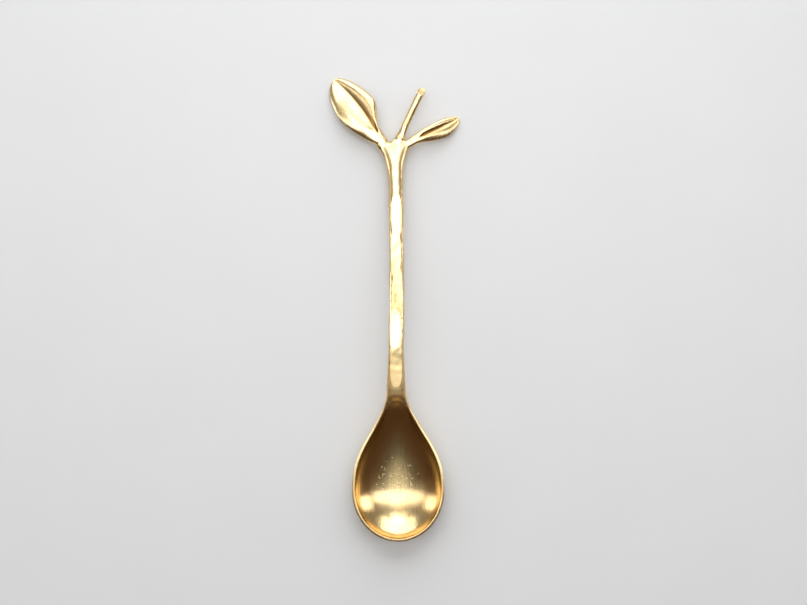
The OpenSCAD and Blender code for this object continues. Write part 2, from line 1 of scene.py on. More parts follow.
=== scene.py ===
"""Looks of a leaf-handled brass teaspoon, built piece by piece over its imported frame.

Shapes are worked out in millimetres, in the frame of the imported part: the bowl rests at
the origin, +Y runs along the stem to the leaves and +Z is up. Each piece is then made
into a fine mesh in metres, which stands for the plainer solid of the same name.
"""

import json
import logging
import math
from dataclasses import dataclass, field
from enum import Enum
from typing import Any, Optional, Sequence, Union

import bpy
import numpy as np
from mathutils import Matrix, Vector

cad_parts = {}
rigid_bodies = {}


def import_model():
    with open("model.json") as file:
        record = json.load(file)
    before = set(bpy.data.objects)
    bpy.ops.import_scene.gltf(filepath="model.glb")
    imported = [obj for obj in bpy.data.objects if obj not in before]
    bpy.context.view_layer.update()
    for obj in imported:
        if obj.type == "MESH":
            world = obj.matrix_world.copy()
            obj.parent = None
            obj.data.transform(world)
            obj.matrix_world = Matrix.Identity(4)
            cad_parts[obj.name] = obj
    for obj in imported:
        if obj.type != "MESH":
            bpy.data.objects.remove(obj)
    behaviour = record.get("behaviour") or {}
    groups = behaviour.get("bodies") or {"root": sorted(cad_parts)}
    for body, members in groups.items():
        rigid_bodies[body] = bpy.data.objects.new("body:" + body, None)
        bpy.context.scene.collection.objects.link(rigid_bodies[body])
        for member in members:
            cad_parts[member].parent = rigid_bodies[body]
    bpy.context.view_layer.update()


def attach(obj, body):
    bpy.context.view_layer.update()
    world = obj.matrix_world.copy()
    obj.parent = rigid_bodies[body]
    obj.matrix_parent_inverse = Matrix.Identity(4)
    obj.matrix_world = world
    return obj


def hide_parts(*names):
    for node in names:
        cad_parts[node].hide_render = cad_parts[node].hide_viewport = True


LOG = logging.getLogger("teaspoon")
MM = 0.001
BODY = "root"
SEED = 41
SQUARE = 2.5
SHARP_ANGLE = 75
COOL = (0.96, 1.0, 1.07)
Number = Union[int, float]
Array = np.ndarray


def unit(v: Array) -> Array:
    """Scale a vector, or each row of vectors, to length one."""
    return v / np.linalg.norm(v, axis=-1, keepdims=True)


def ramp(x: Any, low: Number, high: Number) -> Any:
    """Run smoothly from 0 at low to 1 at high."""
    c = np.clip((x - low) / (high - low), 0.0, 1.0)
    return c * c * (3 - 2 * c)


def mix(a: Any, b: Any, share: Any) -> Any:
    """Go from a to b by a share."""
    return a + (b - a) * share


def arch(x: Any) -> Any:
    """Run from 1 at 0 to 0 at 1 along a quarter circle."""
    return np.sqrt(np.maximum(0.0, 1 - x ** 2))


def sin_d(angle: Any) -> Any:
    """Sine of an angle in degrees."""
    return np.sin(np.radians(angle))


def cos_d(angle: Any) -> Any:
    """Cosine of an angle in degrees."""
    return np.cos(np.radians(angle))


def fall(x: Any) -> Any:
    """Run from 1 at 0 to 0 at 1 along half a wave."""
    return (1 + cos_d(180 * x)) / 2


def signed_pow(x: Any, power: Any) -> Any:
    """Raise the size of x to a power and keep its sign."""
    return np.sign(x) * np.abs(x) ** power


def aim(bearing: Number, slope: Number) -> Array:
    """Direction at a bearing, turned from +Y towards +X, and a slope above level."""
    level = cos_d(slope)
    return np.array([sin_d(bearing) * level, cos_d(bearing) * level, sin_d(slope)])


def across(way: Array) -> Array:
    """Level direction to the right of a way."""
    return unit(np.cross(way, np.array([0.0, 0.0, 1.0])))


def placed(outline: Array, origin: Array, way: Array, roll: Number = 0.0) -> Array:
    """Place a flat outline square to a direction.

    Args:
        outline: Points as rows of sideways and upward distances.
        origin: Where the outline's own zero goes.
        way: Direction that the outline faces along.
        roll: Turn about that direction, in degrees.

    Returns:
        The points in space, as rows.
    """
    right = across(way)
    up = np.cross(right, way)
    side = right * cos_d(roll) + up * sin_d(roll)
    top = up * cos_d(roll) - right * sin_d(roll)
    return origin + outline[:, :1] * side + outline[:, 1:2] * top


def superellipse(half: Number, above: Number, below: Number, above_power: Number,
                 below_power: Number, angles: Array) -> Array:
    """Points of a superellipse with its own height above and below its widest line.

    Args:
        half: Half of the width.
        above: Height above the widest line.
        below: Depth below it.
        above_power: How square the upper half is; 2 is a plain ellipse.
        below_power: The same for the lower half.
        angles: Where the points lie, in degrees from the right-hand end.

    Returns:
        Rows of sideways and upward distances.
    """
    c, s = cos_d(angles), sin_d(angles)
    up = s >= 0
    power = np.where(up, 2 / above_power, 2 / below_power)
    return np.stack([half * signed_pow(c, power),
                     np.where(up, above, below) * signed_pow(s, power)], axis=1)


def squared(half: Number, rise: Number, angles: Array) -> Array:
    """Points of the squarish round section that stem, stalks, twig and joints share."""
    return superellipse(half, rise, rise, SQUARE, SQUARE, angles)


def clockwise(count: int, first: Number = 180.0) -> Array:
    """Angles of a ring that starts at an angle and runs over the top to the right."""
    return first - 360.0 * np.arange(count) / count


@dataclass(frozen=True)
class Curve:
    """Cubic curve through its first and last control points."""

    points: Sequence[Array]

    @classmethod
    def between(cls, start: Array, way: Array, end: Array, end_way: Array,
                handle: Any) -> "Curve":
        """Curve from one point and direction to another, with handles of one length."""
        return cls((start, start + way * handle, end - end_way * handle, end))

    def at(self, t: Number) -> Array:
        """Point at a share of the curve."""
        a, b, c, d = self.points
        return a * (1 - t) ** 3 + 3 * b * t * (1 - t) ** 2 + 3 * c * t * t * (1 - t) + d * t ** 3

    def way(self, t: Number) -> Array:
        """Direction at a share of the curve."""
        a, b, c, d = self.points
        return unit((b - a) * (1 - t) ** 2 + 2 * (c - b) * t * (1 - t) + (d - c) * t * t)


@dataclass(frozen=True)
class Ripple:
    """Smooth unevenness from a few waves with seeded directions and phases."""

    size: float
    wave: float
    seed: int = SEED
    waves: int = 9
    spread: tuple = (0.6, 1.7)

    def __call__(self, points: Array) -> Array:
        """Work out the unevenness.

        Args:
            points: Places as rows.

        Returns:
            Its height at each place, in the same units as size.
        """
        rng = np.random.default_rng(self.seed)
        total = np.zeros(len(points))
        for _ in range(self.waves):
            way = unit(rng.normal(size=3))
            length = self.wave * rng.uniform(*self.spread)
            total += np.sin(points @ way * 2 * math.pi / length + rng.uniform(0, 2 * math.pi))
        return total * self.size / math.sqrt(self.waves)


@dataclass
class Skin:
    """A mesh that grows from rings of points, with a value that shading can read."""

    points: list = field(default_factory=list)
    faces: list = field(default_factory=list)
    marks: list = field(default_factory=list)
    count: int = 0

    def add(self, ring: Array, mark: Any = 0.0) -> Array:
        """Add points.

        Args:
            ring: Points as rows, in millimetres.
            mark: One value for all of them, or one each.

        Returns:
            The numbers of the new points.
        """
        self.points.append(ring)
        self.marks.append(np.broadcast_to(np.asarray(mark, float), (len(ring),)))
        self.count += len(ring)
        return np.arange(self.count - len(ring), self.count)

    def wall(self, a: Array, b: Array) -> None:
        """Join two rings of point numbers with a band of four-sided faces."""
        self.faces += zip(a, b, np.roll(b, -1), np.roll(a, -1))

    def cap(self, ring: Array, last: bool) -> None:
        """Close a ring: its first face looks backwards, its last looks forwards."""
        self.faces.append(tuple(ring[::-1]) if last else tuple(ring))

    def row(self, rings: Sequence[Array], marks: Sequence[Any]) -> list:
        """Join a row of equal rings and close the first.

        Args:
            rings: The rings.
            marks: Their marks.

        Returns:
            The point numbers of each ring.
        """
        numbers = [self.add(ring, mark) for ring, mark in zip(rings, marks)]
        for a, b in zip(numbers, numbers[1:]):
            self.wall(a, b)
        self.cap(numbers[0], last=False)
        return numbers

    def tube(self, rings: Sequence[Array], marks: Sequence[Any]) -> None:
        """Join a row of equal rings and close both ends."""
        self.cap(self.row(rings, marks)[-1], last=True)

    def together(self) -> Array:
        """All points so far, as rows."""
        return np.vstack(self.points)

    def quads(self) -> Array:
        """Point numbers of the four-sided faces, as rows."""
        return np.array([face for face in self.faces if len(face) == 4])

    def ruffle(self, ripple: Ripple, weight: Any = 1.0) -> None:
        """Push the points in and out along the surface by a smooth unevenness.

        Args:
            ripple: The unevenness.
            weight: Share of it that each point takes.
        """
        points, quads = self.together(), self.quads()
        a, b, c, d = (points[quads[:, i]] for i in range(4))
        normal = np.zeros_like(points)
        for i in range(4):
            np.add.at(normal, quads[:, i], np.cross(c - a, d - b))
        size = np.linalg.norm(normal, axis=1, keepdims=True)
        push = ripple(points) * weight
        self.points = [points - normal / np.where(size == 0, 1, size) * push[:, None]]

    def relax(self, free: Array, rounds: int, back: float = 0.96) -> None:
        """Even out the points, in steps forward and back so that the skin doesn't shrink.

        Args:
            free: Share of the way to its neighbours' middle that each point may go.
            rounds: How many times all go forward and back.
            back: Share of a step forward that the step back takes.
        """
        points, quads = self.together(), self.quads()
        pairs = np.stack([quads, np.roll(quads, -1, axis=1)], axis=2).reshape(-1, 2)
        pairs = pairs[(free[pairs] > 0).any(axis=1)]
        count = np.bincount(pairs[:, 0], minlength=len(points)).astype(float)
        free = np.where(count > 0, free, 0.0)
        count[count == 0] = 1
        for step in (1, -back) * rounds:
            total = [np.bincount(pairs[:, 0], points[pairs[:, 1], k], len(points))
                     for k in range(3)]
            points = points + step * free[:, None] * (np.stack(total, 1) / count[:, None] - points)
        self.points = [points]

    def make(self, name: str) -> bpy.types.Object:
        """Turn the skin into a smooth-shaded object in metres.

        The rings run clockwise, so each face is turned over here to look outward.

        Args:
            name: Name of the object.

        Returns:
            The new object, linked to the scene.
        """
        mesh = bpy.data.meshes.new(name)
        faces = [tuple(int(face[-i]) for i in range(len(face))) for face in self.faces]
        mesh.from_pydata((self.together() * MM).tolist(), [], faces)
        mesh.update()
        mark = mesh.attributes.new("mark", "FLOAT", "POINT")
        mark.data.foreach_set("value", np.concatenate(self.marks).astype(np.float32))
        mesh.shade_smooth()
        mesh.set_sharp_from_angle(angle=math.radians(SHARP_ANGLE))
        piece = bpy.data.objects.new(name, mesh)
        bpy.context.scene.collection.objects.link(piece)
        return piece


class Tone(Enum):
    """Colours of the brass, from bright to shadowed; the darkest serves for tarnish and for
    painted shade.
    """

    PALE = (0.90, 0.71, 0.40)
    GOLD = (0.84, 0.61, 0.29)
    HONEY = (0.74, 0.49, 0.20)
    TARNISH_AND_SHADE = (0.34, 0.19, 0.06)
    FILLER = (0.78, 0.60, 0.32)


class Value:
    """A number that varies over a surface; arithmetic on it adds Math nodes."""

    def __init__(self, graph: "Graph", socket: bpy.types.NodeSocket) -> None:
        """Wrap an output socket of a graph."""
        self.graph = graph
        self.socket = socket

    def maths(self, operation: str, *inputs: Any, clamp: bool = False) -> "Value":
        """Add a Math node on some inputs."""
        settings = {"operation": operation, "use_clamp": clamp}
        return self.graph.node("ShaderNodeMath", settings, inputs)

    def __add__(self, other: Any) -> "Value":
        """Sum."""
        return self.maths("ADD", self, other)

    __radd__ = __add__

    def __sub__(self, other: Any) -> "Value":
        """Difference."""
        return self.maths("SUBTRACT", self, other)

    def __rsub__(self, other: Any) -> "Value":
        """Difference with the value second."""
        return self.maths("SUBTRACT", other, self)

    def __mul__(self, other: Any) -> "Value":
        """Product."""
        return self.maths("MULTIPLY", self, other)

    __rmul__ = __mul__

    def __truediv__(self, other: Any) -> "Value":
        """Quotient."""
        return self.maths("DIVIDE", self, other)

    def __pow__(self, other: Any) -> "Value":
        """Power."""
        return self.maths("POWER", self, other)

    def __abs__(self) -> "Value":
        """Size without its sign."""
        return self.maths("ABSOLUTE", self)

    def clamp(self) -> "Value":
        """Hold the value between 0 and 1."""
        return self.maths("ADD", self, 0.0, clamp=True)

    def smooth(self, low: Number, high: Number) -> "Value":
        """Run smoothly from 0 at low to 1 at high."""
        return self.graph.node("ShaderNodeMapRange", {"interpolation_type": "SMOOTHSTEP"},
                               {"Value": self, "From Min": low, "From Max": high}, "Result")


@dataclass(frozen=True)
class Grain:
    """Cloudy pattern from 0 to 1, and what it does to a polish.

    Scale counts its features to the metre, and stretch and turn, in degrees, lay it along
    the piece. Matt is how much it changes the roughness, and depth and strength are those
    of its relief.
    """

    scale: float
    detail: float
    rough: float
    stretch: tuple = (1.0, 1.0, 1.0)
    turn: float = 0.0
    matt: float = 0.0
    depth: float = 0.0
    strength: float = 1.0

    def matting(self, pattern: Value) -> Value:
        """What the pattern adds to the roughness."""
        return (pattern - 0.5) * self.matt

    def relief(self, pattern: Value, over: Optional[Value] = None) -> Value:
        """Relief of the pattern, laid over another relief where one is given."""
        return pattern.graph.bump(pattern, self.depth, self.strength, over)


class Graph:
    """Nodes of one material or world."""

    def __init__(self, block: Union[bpy.types.Material, bpy.types.World], out: str) -> None:
        """Start on an empty node tree.

        Args:
            block: Material or world that the nodes belong to.
            out: Type of its output node.
        """
        block.use_nodes = True
        self.block = block
        self.tree = block.node_tree
        self.tree.nodes.clear()
        self.out = out

    @classmethod
    def material(cls, name: str) -> "Graph":
        """Start a material."""
        return cls(bpy.data.materials.new(name), "ShaderNodeOutputMaterial")

    def finish(self, shader: Value) -> None:
        """Join a shader to the output."""
        self.node(self.out, None, {"Surface": shader}, None)

    def node(self, kind: str, settings: Optional[dict] = None,
             inputs: Union[dict, Sequence, None] = None,
             output: Union[str, int, None] = 0) -> Optional[Value]:
        """Add a node: its settings first, then its sockets.

        Args:
            kind: Type of the node.
            settings: Attributes of the node.
            inputs: Values or links, by socket name or in the order of the sockets.
            output: Socket to return; None for a node that has none.

        Returns:
            The chosen output.
        """
        node = self.tree.nodes.new(kind)
        for key, value in (settings or {}).items():
            setattr(node, key, value)
        items = inputs.items() if isinstance(inputs, dict) else enumerate(inputs or [])
        for key, value in items:
            if isinstance(value, Value):
                self.tree.links.new(value.socket, node.inputs[key])
            else:
                node.inputs[key].default_value = value
        return None if output is None else Value(self, node.outputs[output])

    def place(self, stretch: Sequence[Number] = (1, 1, 1), turn: Number = 0.0) -> Value:
        """Coordinates of the object, turned about Z by degrees and then stretched."""
        where = self.node("ShaderNodeTexCoord", output="Object")
        return self.node("ShaderNodeMapping", {"vector_type": "TEXTURE"},
                         {"Vector": where, "Rotation": (0, 0, math.radians(turn)),
                          "Scale": [1 / s for s in stretch]})

    def grain(self, kind: Grain) -> Value:
        """Pattern of a grain, laid over the object."""
        return self.node("ShaderNodeTexNoise", {"noise_dimensions": "3D"},
                         {"Vector": self.place(kind.stretch, kind.turn), "Scale": kind.scale,
                          "Detail": kind.detail, "Roughness": kind.rough}, "Fac")

    def cells(self, where: Value, scale: Number) -> Value:
        """Distance to the middles of scattered cells, scale of them to the metre."""
        return self.node("ShaderNodeTexVoronoi", {"feature": "F1"},
                         {"Vector": where, "Scale": scale}, "Distance")

    def mark(self) -> Value:
        """The value that the mesh carries for shading."""
        return self.node("ShaderNodeAttribute", {"attribute_name": "mark"}, output="Fac")

    def part(self, vector: Value, axis: str) -> Value:
        """One of a vector's three numbers."""
        return self.node("ShaderNodeSeparateXYZ", None, [vector], axis)

    def aside(self) -> Value:
        """How far the surface faces to either side, from 0 to 1."""
        return abs(self.part(self.node("ShaderNodeTexCoord", output="Normal"), "X"))

    def along(self, axis: str) -> Value:
        """The object's own coordinate along X, Y or Z, in millimetres."""
        return self.part(self.node("ShaderNodeTexCoord", output="Object"), axis) / MM

    def blend(self, share: Any, first: Any, second: Any) -> Value:
        """Go from one colour, tone or colour value to another by a share.

        Args:
            share: Number or value, held between 0 and 1.
            first: Colour at 0.
            second: Colour at 1.

        Returns:
            The colour between them.
        """
        plain = [c.value if isinstance(c, Tone) else c for c in (first, second)]
        a, b = (c if isinstance(c, Value) else (*c, 1.0) for c in plain)
        factor_socket, a_socket, b_socket, colour_output = 0, 6, 7, 2
        return self.node("ShaderNodeMix", {"data_type": "RGBA", "clamp_factor": True},
                         {factor_socket: share, a_socket: a, b_socket: b}, colour_output)

    def bump(self, height: Value, distance: Number, strength: Number = 1.0,
             over: Optional[Value] = None) -> Value:
        """Add a relief.

        Args:
            height: Pattern from 0 to 1.
            distance: Its full height, in metres.
            strength: How much of it shows.
            over: Relief that it lies on, if any.

        Returns:
            The surface's new direction.
        """
        inputs = {"Height": height, "Distance": distance, "Strength": strength}
        if over is not None:
            inputs["Normal"] = over
        return self.node("ShaderNodeBump", None, inputs, "Normal")

    def metal(self, colour: Value, roughness: Value, normal: Value) -> bpy.types.Material:
        """Finish the material as bare metal.

        Args:
            colour: Base colour.
            roughness: Roughness.
            normal: Relief.

        Returns:
            The material.
        """
        inputs = {"Base Color": colour, "Metallic": 1.0, "Roughness": roughness, "Normal": normal}
        self.finish(self.node("ShaderNodeBsdfPrincipled", None, inputs))
        return self.block


@dataclass(frozen=True)
class Polish:
    """What the finishes of the brass share: two tones that cloud into each other."""

    name: str
    roughness: float
    cloud: Grain
    light: Tone = Tone.PALE
    dark: Tone = Tone.GOLD
    span: tuple = (0.3, 0.72)

    def graph(self) -> Graph:
        """Start the finish's material."""
        return Graph.material(self.name + "_finish")

    def clouded(self, cloud: Value) -> Value:
        """Colour of the two tones by the cloudy pattern."""
        return cloud.graph.blend(cloud.smooth(*self.span), self.light, self.dark)


@dataclass(frozen=True)
class FiledPolish(Polish):
    """Polish with a dull, mottled part where the piece was filed at a joint."""

    honey_span: tuple = (0.40, 0.60)
    honey_share: float = 0.45
    brown_span: tuple = (0.55, 0.70)
    brown_share: float = 0.4

    def dulled(self, colour: Value, mottle: Value, share: Value) -> Value:
        """Mottle a colour.

        Args:
            colour: Colour so far.
            mottle: Fine pattern.
            share: Where it shows, from 0 to 1.

        Returns:
            The new colour.
        """
        honey = share * (1 - mottle.smooth(*self.honey_span)) * self.honey_share
        brown = share * mottle.smooth(*self.brown_span) * self.brown_share
        return share.graph.blend(brown, share.graph.blend(honey, colour, Tone.HONEY), Tone.TARNISH_AND_SHADE)


@dataclass(frozen=True)
class BowlPolish(FiledPolish):
    """Mirror-polished bowl with lengthwise brushing, handling scratches, a dull neck and painted
    shade in the hollow.
    """

    name: str = "bowl_brass"
    roughness: float = 0.20
    cloud: Grain = Grain(130, 3, 0.55, matt=0.12)
    light: Tone = Tone.GOLD
    dark: Tone = Tone.HONEY
    span: tuple = (0.3, 0.75)
    streak: Grain = Grain(2600, 4, 0.6, (1.0, 0.035, 0.6), matt=0.16, depth=0.00006)
    broad: Grain = Grain(520, 2, 0.5, (1.0, 0.05, 0.5))
    mottle: Grain = Grain(1500, 3, 0.7, (1.0, 0.8, 1.0), depth=0.00006, strength=0.8)
    neck: tuple = (23.0, 26.5)
    neck_matt: float = 0.22
    shine: float = 0.25
    streak_shine: float = 1.3
    # Share of the painted shade that the mesh's mark lays on the hollow's sides and back.
    brown: float = 0.55
    nick_shine: float = 0.6
    nick_matt: float = 0.25
    nick_depth: float = 0.00003
    nick_strength: float = 0.8
    nick_runs: tuple = ((24, 1720), (-41, 1960), (74, 1560), (-8, 1800))
    nick_stretch: tuple = (1.0, 0.15, 0.6)
    nick_edge: tuple = (0.07, 0.19)
    patch_edge: tuple = (0.44, 0.52)
    worn_place: tuple = (-0.5, 3.0)
    worn_reach: tuple = (2.5, 7.5)
    worn_fade: float = 0.85

    def build(self) -> bpy.types.Material:
        """Make the material.

        Returns:
            The material.
        """
        g = self.graph()
        cloud, streak, broad, mottle = map(
            g.grain, (self.cloud, self.streak, self.broad, self.mottle))
        neck = g.along("Y").smooth(*self.neck)
        nicks = self.nicks(g)
        colour = self.clouded(cloud)
        colour = g.blend((streak - 0.5) * self.streak_shine + self.shine, colour, Tone.PALE)
        # Painted shade: the mark browns the hollow's steep sides and back.
        colour = g.blend(g.mark() * self.brown, colour, Tone.TARNISH_AND_SHADE)
        colour = g.blend(nicks * self.nick_shine, colour, Tone.PALE)
        colour = self.dulled(colour, mottle, neck)
        roughness = (self.roughness + self.streak.matting(streak) + self.cloud.matting(cloud)
                     + nicks * self.nick_matt + neck * self.neck_matt)
        relief = self.streak.relief(streak * 0.5 + broad * 0.5)
        relief = g.bump(nicks, self.nick_depth, self.nick_strength, relief)
        return g.metal(colour, roughness, self.mottle.relief(mottle * neck, relief))

    def nicks(self, g: Graph) -> Value:
        """Scratches in four directions, most of them where the bowl is most worn.

        Args:
            g: Graph to add to.

        Returns:
            Value that is 1 on a scratch.
        """
        nicks = sum(self.scratches(g, turn, scale) for turn, scale in self.nick_runs)
        aside, ahead = (g.along(axis) - middle for axis, middle in zip("XY", self.worn_place))
        off = (aside ** 2 + ahead ** 2) ** 0.5
        return (nicks * (1 - off.smooth(*self.worn_reach) * self.worn_fade)).clamp()

    def scratches(self, g: Graph, turn: Number, scale: Number) -> Value:
        """Short thin scratches, gathered in a few patches.

        Args:
            g: Graph to add to.
            turn: Direction of the scratches from the bowl's length, in degrees.
            scale: Scratches to the metre.

        Returns:
            Value that is 1 on a scratch.
        """
        line = g.cells(g.place(self.nick_stretch, turn), scale)
        patch = g.grain(Grain(300, 3, 0.6, turn=turn))
        return (1 - line.smooth(*self.nick_edge)) * patch.smooth(*self.patch_edge)


@dataclass(frozen=True)
class StemPolish(FiledPolish):
    """Hammered and polished stem with painted shade on its flanks, soft wear and fine pits."""

    name: str = "stem_brass"
    roughness: float = 0.23
    cloud: Grain = Grain(260, 4, 0.55, (1.0, 0.5, 1.0), matt=0.2, depth=0.00005, strength=0.5)
    grain: Grain = Grain(1900, 3, 0.6, (1.0, 0.18, 1.0), matt=0.12, depth=0.000012, strength=0.7)
    mottle: Grain = Grain(1500, 3, 0.7, (1.0, 0.7, 1.0), depth=0.00006, strength=0.8)
    patch: Grain = Grain(420, 2, 0.5)
    patch_edge: tuple = (0.6, 0.68)
    pit_scale: float = 900
    pit_edge: tuple = (0.08, 0.2)
    pit_brown: float = 0.7
    pit_depth: float = 0.00004
    pit_strength: float = 0.6
    foot: tuple = (29.5, 35.0)
    foot_matt: float = 0.17
    ridge_shade: float = 0.5
    ridge_matt: float = 0.08
    # Painted shade: where and how much the flanks that face to either side are browned.
    shaded_flank: tuple = (0.5, 0.95)
    flank_shade_share: float = 0.38

    def build(self) -> bpy.types.Material:
        """Make the material.

        Returns:
            The material.
        """
        g = self.graph()
        cloud, grain, mottle, patch = map(
            g.grain, (self.cloud, self.grain, self.mottle, self.patch))
        ridges = g.mark()
        foot = 1 - g.along("Y").smooth(*self.foot)
        pits = 1 - g.cells(g.place(), self.pit_scale).smooth(*self.pit_edge)
        pits = pits * patch.smooth(*self.patch_edge)
        colour = g.blend(ridges * self.ridge_shade, self.clouded(cloud), Tone.HONEY)
        # Painted shade on the flanks, by how far the surface faces to either side.
        shaded_flank = g.aside().smooth(*self.shaded_flank) * self.flank_shade_share
        colour = g.blend(shaded_flank, colour, Tone.TARNISH_AND_SHADE)
        colour = g.blend(pits * self.pit_brown, colour, Tone.TARNISH_AND_SHADE)
        colour = self.dulled(colour, mottle, foot)
        roughness = (self.roughness + self.cloud.matting(cloud) + self.grain.matting(grain)
                     + ridges * self.ridge_matt + foot * self.foot_matt)
        relief = self.grain.relief(grain, self.cloud.relief(cloud))
        relief = g.bump(1 - pits, self.pit_depth, self.pit_strength, relief)
        return g.metal(colour, roughness, self.mottle.relief(mottle * foot, relief))


@dataclass(frozen=True)
class LeafPolish(Polish):
    """Polished leaf with painted shade in its fold, which stays darker and finely grained."""

    name: str = "leaf_brass"
    roughness: float = 0.25
    cloud: Grain = Grain(300, 4, 0.55, matt=0.18, depth=0.00007, strength=0.5)
    grain: Grain = Grain(2400, 4, 0.65, matt=0.12, depth=0.00002, strength=0.6)
    fold_shade: float = 0.55
    fold_grain: float = 0.5
    fold_matt: float = 0.12

    def build(self) -> bpy.types.Material:
        """Make the material.

        Returns:
            The material.
        """
        g = self.graph()
        fold, cloud, grain = g.mark(), g.grain(self.cloud), g.grain(self.grain)
        # Painted shade in the fold, broken up by the fine grain.
        brown = fold * (self.fold_shade + grain * self.fold_grain)
        colour = g.blend(brown, self.clouded(cloud), Tone.TARNISH_AND_SHADE)
        roughness = (self.roughness + self.cloud.matting(cloud) + self.grain.matting(grain)
                     + fold * self.fold_matt)
        return g.metal(colour, roughness, self.grain.relief(grain, self.cloud.relief(cloud)))


@dataclass(frozen=True)
class TwigPolish(Polish):
    """Twig with fine lengthwise bark lines over a clouded polish."""

    name: str = "twig_brass"
    roughness: float = 0.27
    cloud: Grain = Grain(420, 3, 0.55, matt=0.15, depth=0.00006, strength=0.4)
    span: tuple = (0.3, 0.7)
    bark: Grain = Grain(2300, 4, 0.6, (1.0, 0.12, 0.8), turn=-26.0, matt=0.22, depth=0.00006,
                        strength=0.7)
    bark_span: tuple = (0.45, 0.75)
    bark_shade: float = 0.4
    end_shade: float = 0.4
    end_matt: float = 0.15

    def build(self) -> bpy.types.Material:
        """Make the material.

        Returns:
            The material.
        """
        g = self.graph()
        end, cloud, bark = g.mark(), g.grain(self.cloud), g.grain(self.bark)
        shade = bark.smooth(*self.bark_span) * self.bark_shade
        colour = g.blend(shade, self.clouded(cloud), Tone.HONEY)
        colour = g.blend(end * self.end_shade, colour, Tone.HONEY)
        roughness = (self.roughness + self.bark.matting(bark) + self.cloud.matting(cloud)
                     + end * self.end_matt)
        return g.metal(colour, roughness, self.cloud.relief(cloud, self.bark.relief(bark)))


@dataclass(frozen=True)
class BrazePolish(Polish):
    """Brazing filler, filed smooth and a little duller than the brass round it."""

    name: str = "braze"
    roughness: float = 0.31
    cloud: Grain = Grain(900, 3, 0.55, matt=0.2, depth=0.00008, strength=0.6)
    light: Tone = Tone.FILLER
    dark: Tone = Tone.HONEY
    span: tuple = (0.35, 0.7)
    filing: Grain = Grain(3000, 4, 0.65, (0.2, 1.0, 0.4), matt=0.2, depth=0.00003, strength=0.7)

    def build(self) -> bpy.types.Material:
        """Make the material.

        Returns:
            The material.
        """
        g = self.graph()
        cloud, filing = g.grain(self.cloud), g.grain(self.filing)
        roughness = self.roughness + self.filing.matting(filing) + self.cloud.matting(cloud)
        relief = self.cloud.relief(cloud, self.filing.relief(filing))
        return g.metal(self.clouded(cloud), roughness, relief)


